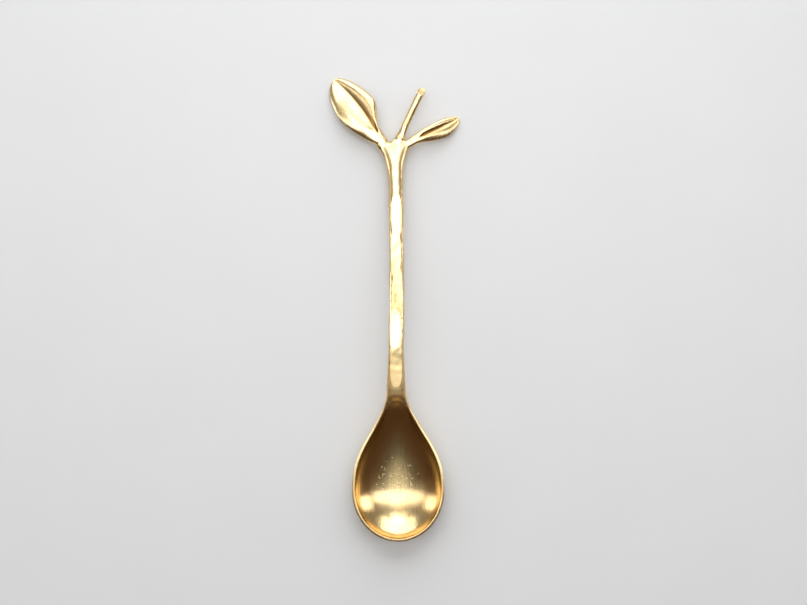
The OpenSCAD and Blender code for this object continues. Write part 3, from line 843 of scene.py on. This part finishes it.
@dataclass
class Bowl:
    """Oval bowl: belly, rounded rim, hollow with a round end, and solid heel."""

    width: float = 24.8
    front: float = 13.7
    back: float = 27.4
    depth: float = 5.4
    least_depth: float = 0.15
    wall: float = 1.1
    rim_width: float = 0.8
    rim_thickness: float = 0.8
    heel: float = 3.2
    heel_rise: float = 2.6
    tip_rise: float = 0.3
    flat: float = 0.12
    neck_offset: float = 0.55
    neck_width: float = 5.1
    neck_thickness: float = 3.2
    side_power: float = 1.2
    belly_power: float = 1.5
    rise_power: float = 2.2
    belly_square: float = 2.1
    rim_square: float = 3.0
    front_fall: float = 0.65
    back_fall: float = 0.9
    rounding: float = 0.9
    rounding_length: float = 0.1
    hollow_power: float = 1.6
    fillet: float = 0.13
    heel_fillet: float = 0.3
    fillet_angles: tuple = (30.0, 60.0, 90.0)
    soft_span: tuple = (13.0, 20.0)
    softening: float = 2.6
    belly_points: int = 120
    rim_points: int = 12
    hollow_points: int = 120

    def __post_init__(self) -> None:
        """Work out how far the hollow runs to either side of the widest line."""
        self.long_back = self.back - self.heel
        self.long_front = self.front - self.rim_width

    def back_share(self, y: float) -> float:
        """Place between the widest line and the stem joint."""
        return max(0.0, y / self.back)

    def front_share(self, y: float) -> float:
        """Place between the widest line and the tip."""
        return max(0.0, -y / self.front)

    def hollow_share(self, y: float) -> float:
        """Place between the widest line and the nearer end of the hollow."""
        return -y / self.long_front if y < 0 else y / self.long_back

    def past_hollow(self, y: float) -> float:
        """Distance past the nearer end of the hollow, where the metal is solid."""
        return max(0.0, y - self.long_back, -y - self.long_front)

    def heel_share(self, y: float) -> float:
        """How far the section has become the stem's."""
        return float(ramp(self.back_share(y), 0.6, 1.0))

    def half_width(self, y: float) -> float:
        """Half of the bowl's width at a station."""
        back = mix(self.neck_width, self.width, fall(self.back_share(y) ** self.side_power)) / 2
        return self.width / 2 * arch(self.front_share(y)) if y < 0 else back

    def belly(self, y: float) -> float:
        """Depth of the belly below the rim line."""
        ends, share = ((self.rim_thickness * self.tip_round(y), arch(self.front_share(y))) if y < 0
                       else (self.neck_thickness, fall(self.back_share(y) ** self.belly_power)))
        return mix(ends / 2, self.depth + self.wall, share)

    def tip_round(self, y: float) -> float:
        """How much of the rim's thickness is left at the rounded front tip."""
        past = min(1.0, max(0.0, (-y - self.long_front) / self.rim_width))
        return (1 - past ** 3) ** (1 / 3)

    def crown(self, y: float) -> float:
        """Height of the rim or heel above the rim line."""
        thickness = mix(self.rim_thickness, self.neck_thickness, self.heel_share(y))
        return thickness / 2 * self.tip_round(y)

    def squareness(self, y: float) -> float:
        """Power of the superellipse over the rim or heel."""
        return mix(self.rim_square, SQUARE, self.heel_share(y))

    def middle(self, y: float) -> Array:
        """Point on the rim line, midway between the sides."""
        rise = (self.heel_rise * self.back_share(y) ** self.rise_power
                + self.tip_rise * self.front_share(y) ** 2)
        return np.array([-self.neck_offset * self.back_share(y) ** 2, y,
                         self.depth + self.wall - self.flat + rise])

    def way(self, y: float) -> Array:
        """Direction of the rim line."""
        power = self.rise_power
        rise = (self.heel_rise * power * self.back_share(y) ** (power - 1) / self.back
                - 2 * self.tip_rise * self.front_share(y) / self.front)
        return aim(0, math.degrees(math.atan(rise)))

    def hollow_size(self, y: float) -> tuple:
        """Size of the hollow.

        Args:
            y: Station.

        Returns:
            Its half width and depth, or nothing where the metal is solid.
        """
        share = self.hollow_share(y)
        if share >= 1:
            return 0.0, 0.0
        past = max(0.0, (share - self.rounding) / self.rounding_length)
        half, power = (((self.width / 2 - self.rim_width) * arch(share), self.front_fall) if y < 0
                       else ((self.half_width(y) - self.rim_width) * arch(past), self.back_fall))
        return half, mix(self.least_depth, self.depth, (1 - share ** 2) ** power)

    def top(self, x: Any, y: float) -> Any:
        """Height of the rim or heel above the rim line, across a section."""
        inside = np.maximum(0, 1 - (np.abs(x) / self.half_width(y)) ** self.squareness(y))
        return self.crown(y) * inside ** (1 / self.squareness(y))

    def surface(self, x: Array, y: float) -> Array:
        """Height of what is seen from above.

        Args:
            x: Places across a section.
            y: Station.

        Returns:
            Height of the hollow, or of the metal beside or beyond it.
        """
        inner, drop = self.hollow_size(y)
        if inner <= 0:
            return self.top(x, y)
        within = 1 - (x / inner) ** 2
        pit = -drop * np.maximum(0, within) ** (self.hollow_power / 2)
        return np.where(within > 0, pit, self.top(x, y))

    def evened(self, x: Array, y: float) -> Array:
        """Height with the step at the hollow's upper end polished away.

        Args:
            x: Places across a section.
            y: Station.

        Returns:
            Middling height of the stations around it, nearer ones first.
        """
        if y < self.soft_span[0]:
            return self.surface(x, y)
        least, clear, reach, steps = 0.01, 1.6, 2.5, 25
        spread = self.softening * float(ramp(y, *self.soft_span))
        spread = max(least, min(spread, (self.back - y) / clear))
        offsets = np.linspace(-reach, reach, steps)
        share = np.exp(-offsets ** 2 / 2)
        return sum(w * self.surface(x, y + spread * d)
                   for w, d in zip(share / share.sum(), offsets))

    def sweep(self) -> Array:
        """Angles of the points across the hollow."""
        return 180 * np.arange(self.hollow_points) / (self.hollow_points - 1)

    def hollow(self, y: float) -> tuple:
        """Fillet and hollow of a section, or points on the plain top where it is solid.

        Args:
            y: Station.

        Returns:
            Where the rim ends, the fillet's points and the hollow's.
        """
        half, (inner, drop) = self.half_width(y), self.hollow_size(y)
        phi, t = self.sweep(), np.array(self.fillet_angles)
        if inner > 0:
            fillet = mix(self.fillet, self.heel_fillet, self.heel_share(y))
            fillet = min(fillet, max(0.0, half - inner) * 0.4)
            edge = inner + fillet
            turn = (edge - fillet * sin_d(t), self.top(edge, y) - fillet * (1 - cos_d(t)))
            pit = (inner * cos_d(phi), -drop * np.maximum(0, sin_d(phi)) ** self.hollow_power)
        else:
            inner = min(0.05 + 0.35 * self.past_hollow(y), 0.5 * half)
            edge = 1.3 * inner
            turn = (edge - 0.3 * inner * sin_d(t), self.top(edge - 0.3 * inner * sin_d(t), y))
            pit = (inner * cos_d(phi), self.top(inner * cos_d(phi), y))
        return edge, np.stack(turn, axis=1), np.stack(pit, axis=1)

    def ring(self, y: float) -> Array:
        """One closed section: belly, right rim, hollow, left rim.

        Args:
            y: Station.

        Returns:
            The points as rows.
        """
        half, crown, power = self.half_width(y), self.crown(y), self.squareness(y)
        belly = superellipse(half, crown, self.belly(y), power,
                             mix(self.belly_square, SQUARE, self.heel_share(y)),
                             180 + 180 * np.arange(self.belly_points) / self.belly_points)
        edge, turn, pit = self.hollow(y)
        end = math.degrees(math.acos(min(1.0, (edge / half) ** (power / 2))))
        a = end * np.arange(self.rim_points) / (self.rim_points - 1)
        lip = np.stack([half * cos_d(a) ** (2 / power), crown * sin_d(a) ** (2 / power)], axis=1)
        right = np.vstack([lip, turn])
        upper = np.vstack([right, pit, right[::-1] * np.array([-1, 1])])
        inward = 1 - ramp(np.abs(upper[:, 0]) / half, 0.4, 0.8)
        upper[:, 1] = mix(upper[:, 1], self.evened(upper[:, 0], y), inward)
        points = placed(np.vstack([belly[1:], upper]), self.middle(y), self.way(y))
        points[:, 2] = np.maximum(points[:, 2], 0.0)
        return points

    def stations(self) -> list:
        """Places of the sections from tip to stem joint.

        Returns:
            The places, crowded where the form turns fast.
        """
        quarter = math.pi / 2
        tip = [-(self.long_front + self.rim_width * math.sin(a))
               for a in np.linspace(quarter * 0.99, 0.02, 24)]
        front = [-self.long_front * math.sin(a) for a in np.linspace(quarter * 0.995, 0, 64)]
        back = [self.long_back * math.sin(a) for a in np.linspace(0, quarter * 0.995, 96)]
        heel = [self.long_back + self.heel * s for s in np.linspace(0.002, 1, 22)]
        return tip + front + back[1:] + heel

    def painted_shade(self, y: float) -> Array:
        """Painted shade of a section: brown, most on the steep sides and back of the hollow.

        Args:
            y: Station.

        Returns:
            A value from 0 to 1 for each of the section's points.
        """
        share = min(1.0, self.hollow_share(y))
        radial = np.sqrt(share ** 2 + (1 - share ** 2) * cos_d(self.sweep()) ** 2)
        pit = mix(0.5 * ramp(radial, 0.85, 1.0), ramp(radial, 0.3, 0.85), float(ramp(y, -4, 4)))
        rim = np.zeros(self.rim_points + len(self.fillet_angles))
        solid = self.past_hollow(y) > 0
        return np.concatenate([np.zeros(self.belly_points - 1), rim,
                               pit * (0.0 if solid else 1 - ramp(y, 21, 24.2)), rim])

    def build(self) -> bpy.types.Object:
        """Make the bowl's mesh.

        Returns:
            The bowl's object.
        """
        skin, stations = Skin(), self.stations()
        skin.tube([self.ring(y)[::-1] for y in stations],
                  [self.painted_shade(y)[::-1] for y in stations])
        return skin.make("bowl_body")


@dataclass
class Joint:
    """Flat joint between the stem and another piece."""

    place: Array
    way: Array
    width: float
    thickness: float
    gap: float = 0.25

    def ring(self, first: Number, count: int, proud: Number = 0.0, back: Number = 0.0) -> Array:
        """Section of the joint.

        Args:
            first: Angle of the first point, in degrees.
            count: Number of points.
            proud: How far the section stands out.
            back: How far back from the joint's front face it lies.

        Returns:
            The points as rows.
        """
        outline = squared(self.width / 2 + proud, self.thickness / 2 + proud,
                          clockwise(count, first))
        return placed(outline, self.place - self.way * back, self.way)

    def side(self, sign: int) -> Array:
        """Point at the right (1) or left (-1) end of the widest line."""
        return self.place + sign * across(self.way) * self.width / 2


@dataclass
class Braze:
    """Run of filler round one joint: a low bead with an uneven edge."""

    name: str
    joint: Joint
    proud: float = 0.005
    ripple: float = 0.006
    wave: float = 1.1
    points: int = 120
    steps: int = 8

    def build(self) -> bpy.types.Object:
        """Make the bead's mesh.

        Returns:
            The bead's object.
        """
        skin = Skin()
        shares = [i / self.steps for i in range(self.steps + 1)]
        skin.tube([self.joint.ring(180, self.points, self.proud * arch(2 * share - 1),
                                   self.joint.gap * (1 - share)) for share in shares],
                  [0.0] * len(shares))
        skin.ruffle(Ripple(self.ripple, self.wave, SEED + len(self.name)))
        return skin.make(self.name + "_bead")


@dataclass
class Strip:
    """Part of a branch's first ring: numbers, places and directions of its points."""

    ids: Array
    points: Array
    ways: Array

    def pick(self, keep: Any) -> "Strip":
        """Some of the points, in a given order."""
        return Strip(self.ids[keep], self.points[keep], self.ways[keep])

    def run(self, first: int, last: int) -> "Strip":
        """The points from one place to another round a closed ring."""
        return self.pick(np.arange(first, last + 1) % len(self.ids))


@dataclass
class Stem:
    """Hammered stem that widens and divides into three branches."""

    neck: Joint
    length: float = 64.6
    width: float = 4.2
    waist: float = 3.95
    waist_place: float = 0.67
    waist_reach: float = 0.26
    thickness: float = 3.1
    neck_flare: float = 14.0
    fork: tuple = (-1.05, 92.0, 3.1)
    fork_bearing: float = -3.0
    fork_slope: float = -6.0
    fork_width: float = 8.3
    fork_thickness: float = 2.7
    fork_flare: float = 9.0
    fork_power: float = 2.7
    handle: float = 0.3
    flat_rows: tuple = ((90, 0, 8), (0, 0.5, 24), (270, 0.3, 24), (180, 0.8, 24))
    flat_start: float = 0.1
    flat_run: float = 0.78
    flat_pitch: float = 9.8
    flat_length: float = 11.6
    flat_depth: float = 0.32
    lean_turn: float = 137.5
    ridge_width: float = 0.05
    ripple: Ripple = Ripple(0.02, 2.6)
    quarter: int = 32
    steps: int = 260
    branch_steps: int = 26
    web_points: int = 21
    large_split: int = 4
    small_split: int = 8
    large_depth: float = 0.65
    small_depth: float = 0.45
    crotch_lean: float = 0.3

    def __post_init__(self) -> None:
        """Work out the stem's line and its hammered flats: their places and facings."""
        self.fork_place = np.array(self.fork)
        self.fork_way = aim(self.fork_bearing, self.fork_slope)
        self.line = Curve.between(self.neck.place, self.neck.way, self.fork_place,
                                  self.fork_way, self.length * self.handle)
        count = math.floor(self.length * self.flat_run / self.flat_pitch)
        self.flats = [(self.length * self.flat_start + (k + phase) * self.flat_pitch,
                       facing + lean * sin_d(self.lean_turn * (k + row)))
                      for row, (facing, phase, lean) in enumerate(self.flat_rows)
                      for k in range(count)]

    def halves(self, t: float) -> tuple:
        """Size of the section.

        Args:
            t: Share of the length.

        Returns:
            Its half width and half thickness before it is hammered.
        """
        neck = max(0.0, 1 - t * self.length / self.neck_flare) ** 2
        fork = max(0.0, 1 - (1 - t) * self.length / self.fork_flare) ** self.fork_power
        pinch = fall(min(1.0, abs(t - self.waist_place) / self.waist_reach))
        wide = (mix(self.width, self.waist, pinch) + (self.neck.width - self.width) * neck
                + (self.fork_width - self.width) * fork) / 2
        thick = (self.thickness + (self.neck.thickness - self.thickness) * neck
                 + (self.fork_thickness - self.thickness) * fork) / 2
        return wide, thick

    def radius(self, angle: Any, wide: float, thick: float) -> Any:
        """Distance from the middle to the surface before hammering, at an angle."""
        return ((np.abs(cos_d(angle)) / wide) ** SQUARE
                + (np.abs(sin_d(angle)) / thick) ** SQUARE) ** (-1 / SQUARE)

    def ring(self, t: float) -> tuple:
        """Hammered section.

        Args:
            t: Share of the length.

        Returns:
            The points as rows, and how near each is to a ridge, from 0 to 1.
        """
        wide, thick = self.halves(t)
        full = squared(wide, thick, clockwise(4 * self.quarter))
        angle = np.degrees(np.arctan2(full[:, 1], full[:, 0]))
        beyond, least = 99.0, 0.05
        cuts = [self.radius(angle, wide, thick), np.full(len(angle), beyond)]
        for place, facing in self.flats:
            bite = 1 - ((t * self.length - place) / (self.flat_length / 2)) ** 2
            if bite > 0:
                level = self.radius(facing, wide, thick) - self.flat_depth * bite
                off = cos_d(angle - facing)
                cuts.append(np.where(off > least, level / np.maximum(off, least), beyond))
        nearest, second = np.sort(np.array(cuts), axis=0)[:2]
        ridge = np.exp(-((second - nearest) / self.ridge_width) ** 2)
        outline = np.stack([nearest * cos_d(angle), nearest * sin_d(angle)], axis=1)
        return placed(outline, self.line.at(t), self.line.way(t)), ridge

    def web_shares(self) -> Array:
        """Places of a web's points between its upper and its lower end."""
        return (np.arange(self.web_points)[:, None] + 1) / (self.web_points + 1)

    def leaving(self, sign: int) -> Array:
        """Directions in which a branch leaves a web: most aside in the web's middle."""
        bulge = sin_d(180 * self.web_shares())
        return unit(self.fork_way * (1 - bulge) + sign * across(self.fork_way) * bulge)

    def web(self, skin: Skin, rim: Strip, place: int, middle: Array) -> tuple:
        """Add the rounded edge of the metal between two branches.

        Args:
            skin: Skin to add to.
            rim: Last ring of the stem.
            place: Where the edge starts on the rim's upper side; it ends straight below.
            middle: Foot of the crotch.

        Returns:
            The edge as the branch to its left starts from it, and as the one to its right.
        """
        top, low = rim.points[place], rim.points[-place]
        share = self.web_shares()
        edge = top + (low - top) * share
        edge = edge + (middle - (top + low) / 2) * sin_d(180 * share) ** 0.6
        ids = skin.add(edge)
        return (Strip(ids, edge, self.leaving(-1)),
                Strip(ids, edge, self.leaving(1)).pick(slice(None, None, -1)))

    def branch(self, skin: Skin, parts: Sequence[Strip], joint: Joint, turn: Number,
               lead: Number) -> None:
        """Grow one branch out of the strips that close its first ring.

        Args:
            skin: Skin to add to.
            parts: The strips, in order round the branch.
            joint: Joint at its end.
            turn: Angle in the joint, in degrees, that the ring is set by.
            lead: How many points the ring starts before that angle.
        """
        ids = np.concatenate([part.ids for part in parts])
        start = np.concatenate([part.points for part in parts])
        ways = np.concatenate([part.ways for part in parts])
        end = joint.ring(turn + 360 * lead / len(ids), len(ids), back=joint.gap)
        handle = np.linalg.norm(end - start, axis=1, keepdims=True) / 3
        line = Curve.between(start, ways, end, joint.way, handle)
        for i in range(1, self.branch_steps + 1):
            following = skin.add(line.at(i / self.branch_steps))
            skin.wall(ids, following)
            ids = following
        skin.cap(ids, last=True)

    def clear(self, points: Array, joints: Sequence[Joint]) -> Array:
        """How clear points are of the flat faces of the joints.

        Args:
            points: Points as rows.
            joints: The joints.

        Returns:
            0 on a face, rising to 1 in half a millimetre.
        """
        share = np.ones(len(points))
        for joint in joints:
            off = np.abs((points - joint.place + joint.way * joint.gap) @ joint.way)
            near = np.linalg.norm(points - joint.place, axis=1) < joint.width
            share = np.where(near, np.minimum(share, ramp(off, 0.02, 0.52)), share)
        return share

    def build(self, large: Joint, twig: Joint, small: Joint) -> bpy.types.Object:
        """Make the stem with its branches.

        Args:
            large: Joint of the large leaf.
            twig: Joint of the twig.
            small: Joint of the small leaf.

        Returns:
            The stem's object.
        """
        skin = Skin()
        rings, ridges = zip(*(self.ring(i / self.steps) for i in range(self.steps + 1)))
        rim = Strip(skin.row(rings, ridges)[-1], rings[-1], unit(rings[-1] - rings[-2]))
        n = 4 * self.quarter
        large_top, small_top = self.quarter - self.large_split, self.quarter + self.small_split
        large_foot = (mix(large.side(1), twig.side(-1), self.crotch_lean)
                      - self.fork_way * self.large_depth)
        small_foot = (small.side(-1) + twig.side(1)) / 2 - self.fork_way * self.small_depth
        large_right, twig_left = self.web(skin, rim, large_top, large_foot)
        twig_right, small_left = self.web(skin, rim, small_top, small_foot)
        self.branch(skin, (rim.run(n - large_top, n + large_top), large_right), large,
                    180, large_top)
        self.branch(skin, (rim.run(large_top, small_top), twig_right,
                           rim.run(n - small_top, n - large_top), twig_left), twig,
                    90, (small_top - large_top) / 2)
        self.branch(skin, (rim.run(small_top, n - small_top), small_left), small,
                    0, 2 * self.quarter - small_top)
        points = skin.together()
        free = ramp(points[:, 1], 90.6, 91.8) * self.clear(points, (large, twig, small))
        skin.relax(0.5 * free, 16)
        y = skin.together()[:, 1]
        skin.ruffle(self.ripple, ramp(y, 29, 32) * ramp(y, 93, 84))
        return skin.make("stem_body")


@dataclass(frozen=True)
class Blade:
    """One half of a leaf: its outline from base to tip, and its height across."""

    width: float
    rise: float
    fall: float
    start: float
    peak: float
    lift: float
    lift_power: float
    droop: float
    droop_power: float

    def share(self, t: float) -> float:
        """Share of the full width.

        Args:
            t: Place along the leaf.

        Returns:
            The smaller of a rising and a falling curve, with the corner between rounded.
        """
        least, corner = 1e-4, -8
        up = max(0.0, (t - self.start) / (self.peak - self.start)) ** self.rise + least
        down = max(0.0, (1 - t) / (1 - self.peak)) ** self.fall + least
        return ((up ** corner + down ** corner) / 2) ** (1 / corner)

    def reach(self, t: float, stalk: float) -> float:
        """Half width, which grows out of the stalk's."""
        left = stalk * max(0.0, 1 - t / 0.6)
        return ((self.width * self.share(t)) ** 3 + left ** 3) ** (1 / 3)

    def height(self, s: Array) -> Array:
        """Height above the fold at a share of the way to the edge."""
        return self.lift * (1 - (1 - s) ** self.lift_power) - self.droop * s ** self.droop_power


@dataclass
class Leaf:
    """Folded leaf: a stalk that flattens into two halves with a fold between them."""

    name: str
    joint: Joint
    bearings: tuple
    slopes: tuple
    roll: float
    length: float
    tip_height: float
    left: Blade
    right: Blade
    thickness: float
    flattened: float = 0.3
    edge_share: float = 0.55
    tip_thinning: float = 0.2
    fold_reach: tuple = (0.05, 0.3)
    steps: int = 150
    points: int = 160

    def section(self, t: float) -> tuple:
        """Outline of a section.

        Args:
            t: Share of the length.

        Returns:
            The outline's points as rows, and how near each is to the fold, from 0 to 1.
        """
        a = clockwise(self.points)
        q, s = cos_d(a), sin_d(a)
        left, size = q < 0, np.abs(q)
        grown = float(ramp(t, 0, self.flattened))
        fade = (1 - t ** 4) * grown
        stalk, thick = self.joint.width / 2, self.joint.thickness / 2
        wide = np.where(left, self.left.reach(t, stalk), self.right.reach(t, stalk))
        lift = fade * np.where(left, self.left.height(size), self.right.height(size))
        thin = mix(1, self.edge_share, q * q) * arch(size ** 3) * (1 - self.tip_thinning * t * t)
        face = np.where(s >= -1e-9, 0.5, -0.5) * self.thickness
        blade = np.stack([q * wide, lift + face * thin], axis=1)
        stem = squared(1, thick, a) * np.stack([wide, np.ones(len(a))], axis=1)
        near = np.exp(-(size / np.where(left, *self.fold_reach)) ** 2) * (s > 0)
        return mix(stem, blade, grown), near * fade

    def build(self) -> bpy.types.Object:
        """Make the leaf's mesh.

        Returns:
            The leaf's object.
        """
        start, (first, middle, last) = self.joint.place, self.bearings
        tip = np.array([start[0], start[1], self.tip_height]) + aim(middle, 0) * self.length
        line = Curve.between(start, aim(first, self.slopes[0]), tip, aim(last, self.slopes[1]),
                             self.length / 3)
        rings, marks = [], []
        for i in range(self.steps + 1):
            t = 0.999 * (1 - math.cos(math.pi * i / self.steps)) / 2
            outline, near = self.section(t)
            roll = self.roll * float(ramp(t, 0, self.flattened))
            rings.append(placed(outline, line.at(t), line.way(t), roll))
            marks.append(near)
        skin = Skin()
        skin.tube(rings, marks)
        return skin.make(self.name + "_blade")


@dataclass
class Twig:
    """Round bare twig with a flared, slanted cut end."""

    joint: Joint
    bearings: tuple = (22.5, 25.2, 27.5)
    slopes: tuple = (9, 8)
    length: float = 13.5
    diameter: float = 1.9
    root: float = 2.6
    root_share: float = 0.22
    end: float = 2.1
    cut: float = 42.0
    cut_start: float = 0.86
    end_rings: tuple = ((0.95, -0.035, 0.0), (0.86, -0.045, 0.2), (0.78, 0.0, 0.8),
                        (0.7, 0.03, 1.0), (0.35, 0.03, 1.0), (0.02, 0.02, 1.0))
    ripple: Ripple = Ripple(0.008, 2.5, SEED + 5)
    steps: int = 110
    points: int = 72

    def width(self, t: float) -> float:
        """Diameter at a share of the length."""
        rooted = (1 - min(1.0, t / self.root_share)) ** 2
        return (mix(self.diameter, self.root, rooted)
                + (self.end - self.diameter) * float(ramp(t, self.root_share, 1.0)))

    def build(self) -> bpy.types.Object:
        """Make the twig's mesh.

        Returns:
            The twig's object.
        """
        start, (first, middle, last) = self.joint.place, self.bearings
        end = start + aim(middle, sum(self.slopes) / 2) * self.length
        line = Curve.between(start, aim(first, self.slopes[0]), end, aim(last, self.slopes[1]),
                             self.length / 3)
        rings = []
        for i in range(self.steps + 1):
            t = i / self.steps
            half, place, way = self.width(t) / 2, line.at(t), line.way(t)
            up = np.cross(across(way), way)
            ring = placed(squared(half, half, clockwise(self.points)), place, way)
            slant = math.tan(math.radians(self.cut)) * float(ramp(t, self.cut_start, 1.0))
            rings.append(ring - way * ((ring - place) @ up)[:, None] * slant)
        edge, middle = rings[-1], rings[-1].mean(axis=0)
        face = unit(np.cross(edge[0] - middle, edge[self.points // 4] - middle))
        face = face if face @ line.way(1.0) > 0 else -face
        rings += [middle + (edge - middle) * inset - face * sink
                  for inset, sink, _ in self.end_rings]
        skin = Skin()
        skin.tube(rings, [0.0] * (self.steps + 1) + [mark for _, _, mark in self.end_rings])
        skin.ruffle(self.ripple, ramp(skin.together()[:, 1], 96, 97.5))
        return skin.make("twig_rod")


@dataclass(frozen=True)
class Lamp:
    """Soft rectangular lamp that lights the spoon but isn't seen itself."""

    name: str
    place: tuple
    target: tuple
    size: tuple
    watts: float
    colour: tuple = (1, 1, 1)

    def hang(self) -> None:
        """Add the lamp to the scene, facing its target."""
        data = bpy.data.lights.new(self.name, "AREA")
        data.shape = "RECTANGLE"
        data.size, data.size_y = self.size
        data.energy = self.watts
        data.color = self.colour
        lamp = bpy.data.objects.new(self.name, data)
        lamp.location = self.place
        aimed = Vector(self.target) - Vector(self.place)
        lamp.rotation_euler = aimed.to_track_quat("-Z", "Y").to_euler()
        lamp.visible_camera = False
        bpy.context.scene.collection.objects.link(lamp)


@dataclass
class Studio:
    """Pale table, soft lamps and a camera straight above the spoon."""

    middle: tuple = (1.43, 50.5)
    height: float = 420.0
    spoon_height: float = 5.0
    pixel: float = 0.2694
    image_width: int = 807
    sensor: float = 36.0
    table_half: float = 1.6
    table_drop: float = 0.00003
    table_tones: tuple = ((0.655, 0.645, 0.63), (0.685, 0.675, 0.66))
    table_cloud: Grain = Grain(40, 3, 0.5)
    table_roughness: float = 0.75
    sky_low: float = 0.11
    sky_far: float = 0.42
    sky_top: float = 0.65
    side_dimming: float = 0.7
    sky_tones: tuple = ((0.96, 1.0, 1.0), (1.0, 0.62, 0.38))
    lamps: tuple = (
        Lamp("key_softbox", (0, 0.065, 0.72), (0, 0.03, 0), (1.74, 0.24), 2.9, COOL),
        Lamp("far_softbox", (0, 0.69, 0.42), (0, 0, 0), (1.14, 0.62), 4.9, COOL),
        Lamp("left_softbox", (-1.18, 0.22, 0.43), (0, 0.04, 0), (0.38, 0.66), 2.0),
        Lamp("right_softbox", (1.18, 0.22, 0.43), (0, 0.04, 0), (0.38, 0.66), 2.0),
        Lamp("stem_softbox", (0, 0.146, 0.20), (0, 0.146, 0), (0.11, 0.09), 0.085))

    def table(self) -> None:
        """Make the table top."""
        mesh = bpy.data.meshes.new("table_top")
        r = self.table_half
        mesh.from_pydata([(-r, -r, 0), (r, -r, 0), (r, r, 0), (-r, r, 0)], [], [(0, 1, 2, 3)])
        table = bpy.data.objects.new("table_top", mesh)
        bpy.context.scene.collection.objects.link(table)
        table.location.z = -self.table_drop
        g = Graph.material("pale_table")
        colour = g.blend(g.grain(self.table_cloud), *self.table_tones)
        inputs = {"Base Color": colour, "Roughness": self.table_roughness}
        g.finish(g.node("ShaderNodeBsdfPrincipled", None, inputs))
        mesh.materials.append(g.block)

    def sky(self) -> None:
        """Make a soft sky: lit beyond the leaves and overhead, dim and warm near the table."""
        world = bpy.data.worlds.new("studio")
        bpy.context.scene.world = world
        g = Graph(world, "ShaderNodeOutputWorld")
        where = g.node("ShaderNodeTexCoord", output="Generated")
        aside, far, high = (g.part(where, axis) for axis in "XYZ")
        upper = self.sky_far * far.smooth(-0.3, 0.8) + self.sky_top * high.smooth(0.86, 1.0)
        dimmed = 1 - abs(aside).smooth(0.3, 0.85) * self.side_dimming
        warmth = (1 - high.smooth(0.62, 0.92)) * (1 - far.smooth(0.1, 0.6))
        tint = g.blend(warmth, *self.sky_tones)
        colour = g.blend(self.sky_low + upper * dimmed, (0.0, 0.0, 0.0), tint)
        g.finish(g.node("ShaderNodeBackground", None, {"Color": colour}))

    def camera(self) -> None:
        """Put the camera where the photograph was taken from."""
        data = bpy.data.cameras.new("overhead")
        data.sensor_width = self.sensor
        shown = self.image_width * self.pixel
        data.lens = self.sensor * (self.height - self.spoon_height) / shown
        camera = bpy.data.objects.new("overhead", data)
        camera.location = (self.middle[0] * MM, self.middle[1] * MM, self.height * MM)
        bpy.context.scene.collection.objects.link(camera)
        bpy.context.scene.camera = camera

    def build(self) -> None:
        """Set the stage."""
        self.table()
        self.sky()
        self.camera()
        for lamp in self.lamps:
            lamp.hang()
        bpy.context.scene.view_settings.view_transform = "Standard"


@dataclass
class Teaspoon:
    """The whole spoon: its pieces, their finishes and their places on the frame."""

    body: str = BODY
    made: dict = field(default_factory=dict)

    def dress(self, piece: bpy.types.Object, finish: Polish, node: str) -> None:
        """Give a piece its finish and seat it in place of a solid of the frame.

        Args:
            piece: The fine piece.
            finish: Its finish.
            node: Name of the solid that it stands for.
        """
        if finish not in self.made:
            self.made[finish] = finish.build()
        piece.data.materials.clear()
        piece.data.materials.append(self.made[finish])
        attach(piece, self.body)
        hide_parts(node)
        LOG.info("%s stands for %s with %d faces", piece.name, node, len(piece.data.polygons))

    def build(self) -> None:
        """Build and dress every piece."""
        bowl = Bowl()
        way = bowl.way(bowl.back)
        neck = Joint(bowl.middle(bowl.back) + way * Joint.gap, way, bowl.neck_width,
                     bowl.neck_thickness)
        stem = Stem(neck)
        fork = stem.fork_place
        large = Joint(fork + np.array([-3.2, 1.5, 0]), aim(-26, 2), width=3.5, thickness=2.1)
        small = Joint(fork + np.array([4.7, 1.85, 0]), aim(60, 4), width=2.4, thickness=1.9)
        twig = Joint(fork + np.array([1.65, 3.25, -0.15]), aim(22.5, 9), width=2.6, thickness=2.6)
        large_leaf = Leaf(
            "large_leaf", large, bearings=(-26, -36.9, -50), slopes=(2, -16), roll=-3,
            length=21.9, tip_height=0.42, thickness=1.1,
            left=Blade(width=6.45, rise=0.5, fall=0.36, start=0.02, peak=0.52,
                       lift=1.0, lift_power=2, droop=0.55, droop_power=3),
            right=Blade(width=4.15, rise=1.1, fall=0.46, start=0.14, peak=0.47,
                        lift=1.9, lift_power=2, droop=0.9, droop_power=3))
        small_leaf = Leaf(
            "small_leaf", small, bearings=(60, 62.3, 60), slopes=(4, -18), roll=4,
            length=14.5, tip_height=0.40, thickness=1.0,
            left=Blade(width=1.85, rise=0.3, fall=0.45, start=0.0, peak=0.68,
                       lift=0.95, lift_power=2, droop=0.2, droop_power=3),
            right=Blade(width=3.0, rise=0.57, fall=0.5, start=0.045, peak=0.645,
                        lift=0.5, lift_power=6, droop=0.6, droop_power=1.5))
        self.dress(bowl.build(), BowlPolish(), "bowl")
        self.dress(stem.build(large, twig, small), StemPolish(), "stem")
        self.dress(large_leaf.build(), LeafPolish(), "large_leaf")
        self.dress(small_leaf.build(), LeafPolish(), "small_leaf")
        self.dress(Twig(twig).build(), TwigPolish(), "twig")
        for name, joint in (("bowl_braze", neck), ("large_leaf_braze", large),
                            ("small_leaf_braze", small), ("twig_braze", twig)):
            self.dress(Braze(name, joint).build(), BrazePolish(), name)


def main() -> None:
    """Load the frame, build the spoon over it and set the studio round it."""
    logging.basicConfig(level=logging.INFO, format="%(name)s: %(message)s")
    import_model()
    Teaspoon().build()
    Studio().build()


if __name__ == "__main__":
    main()
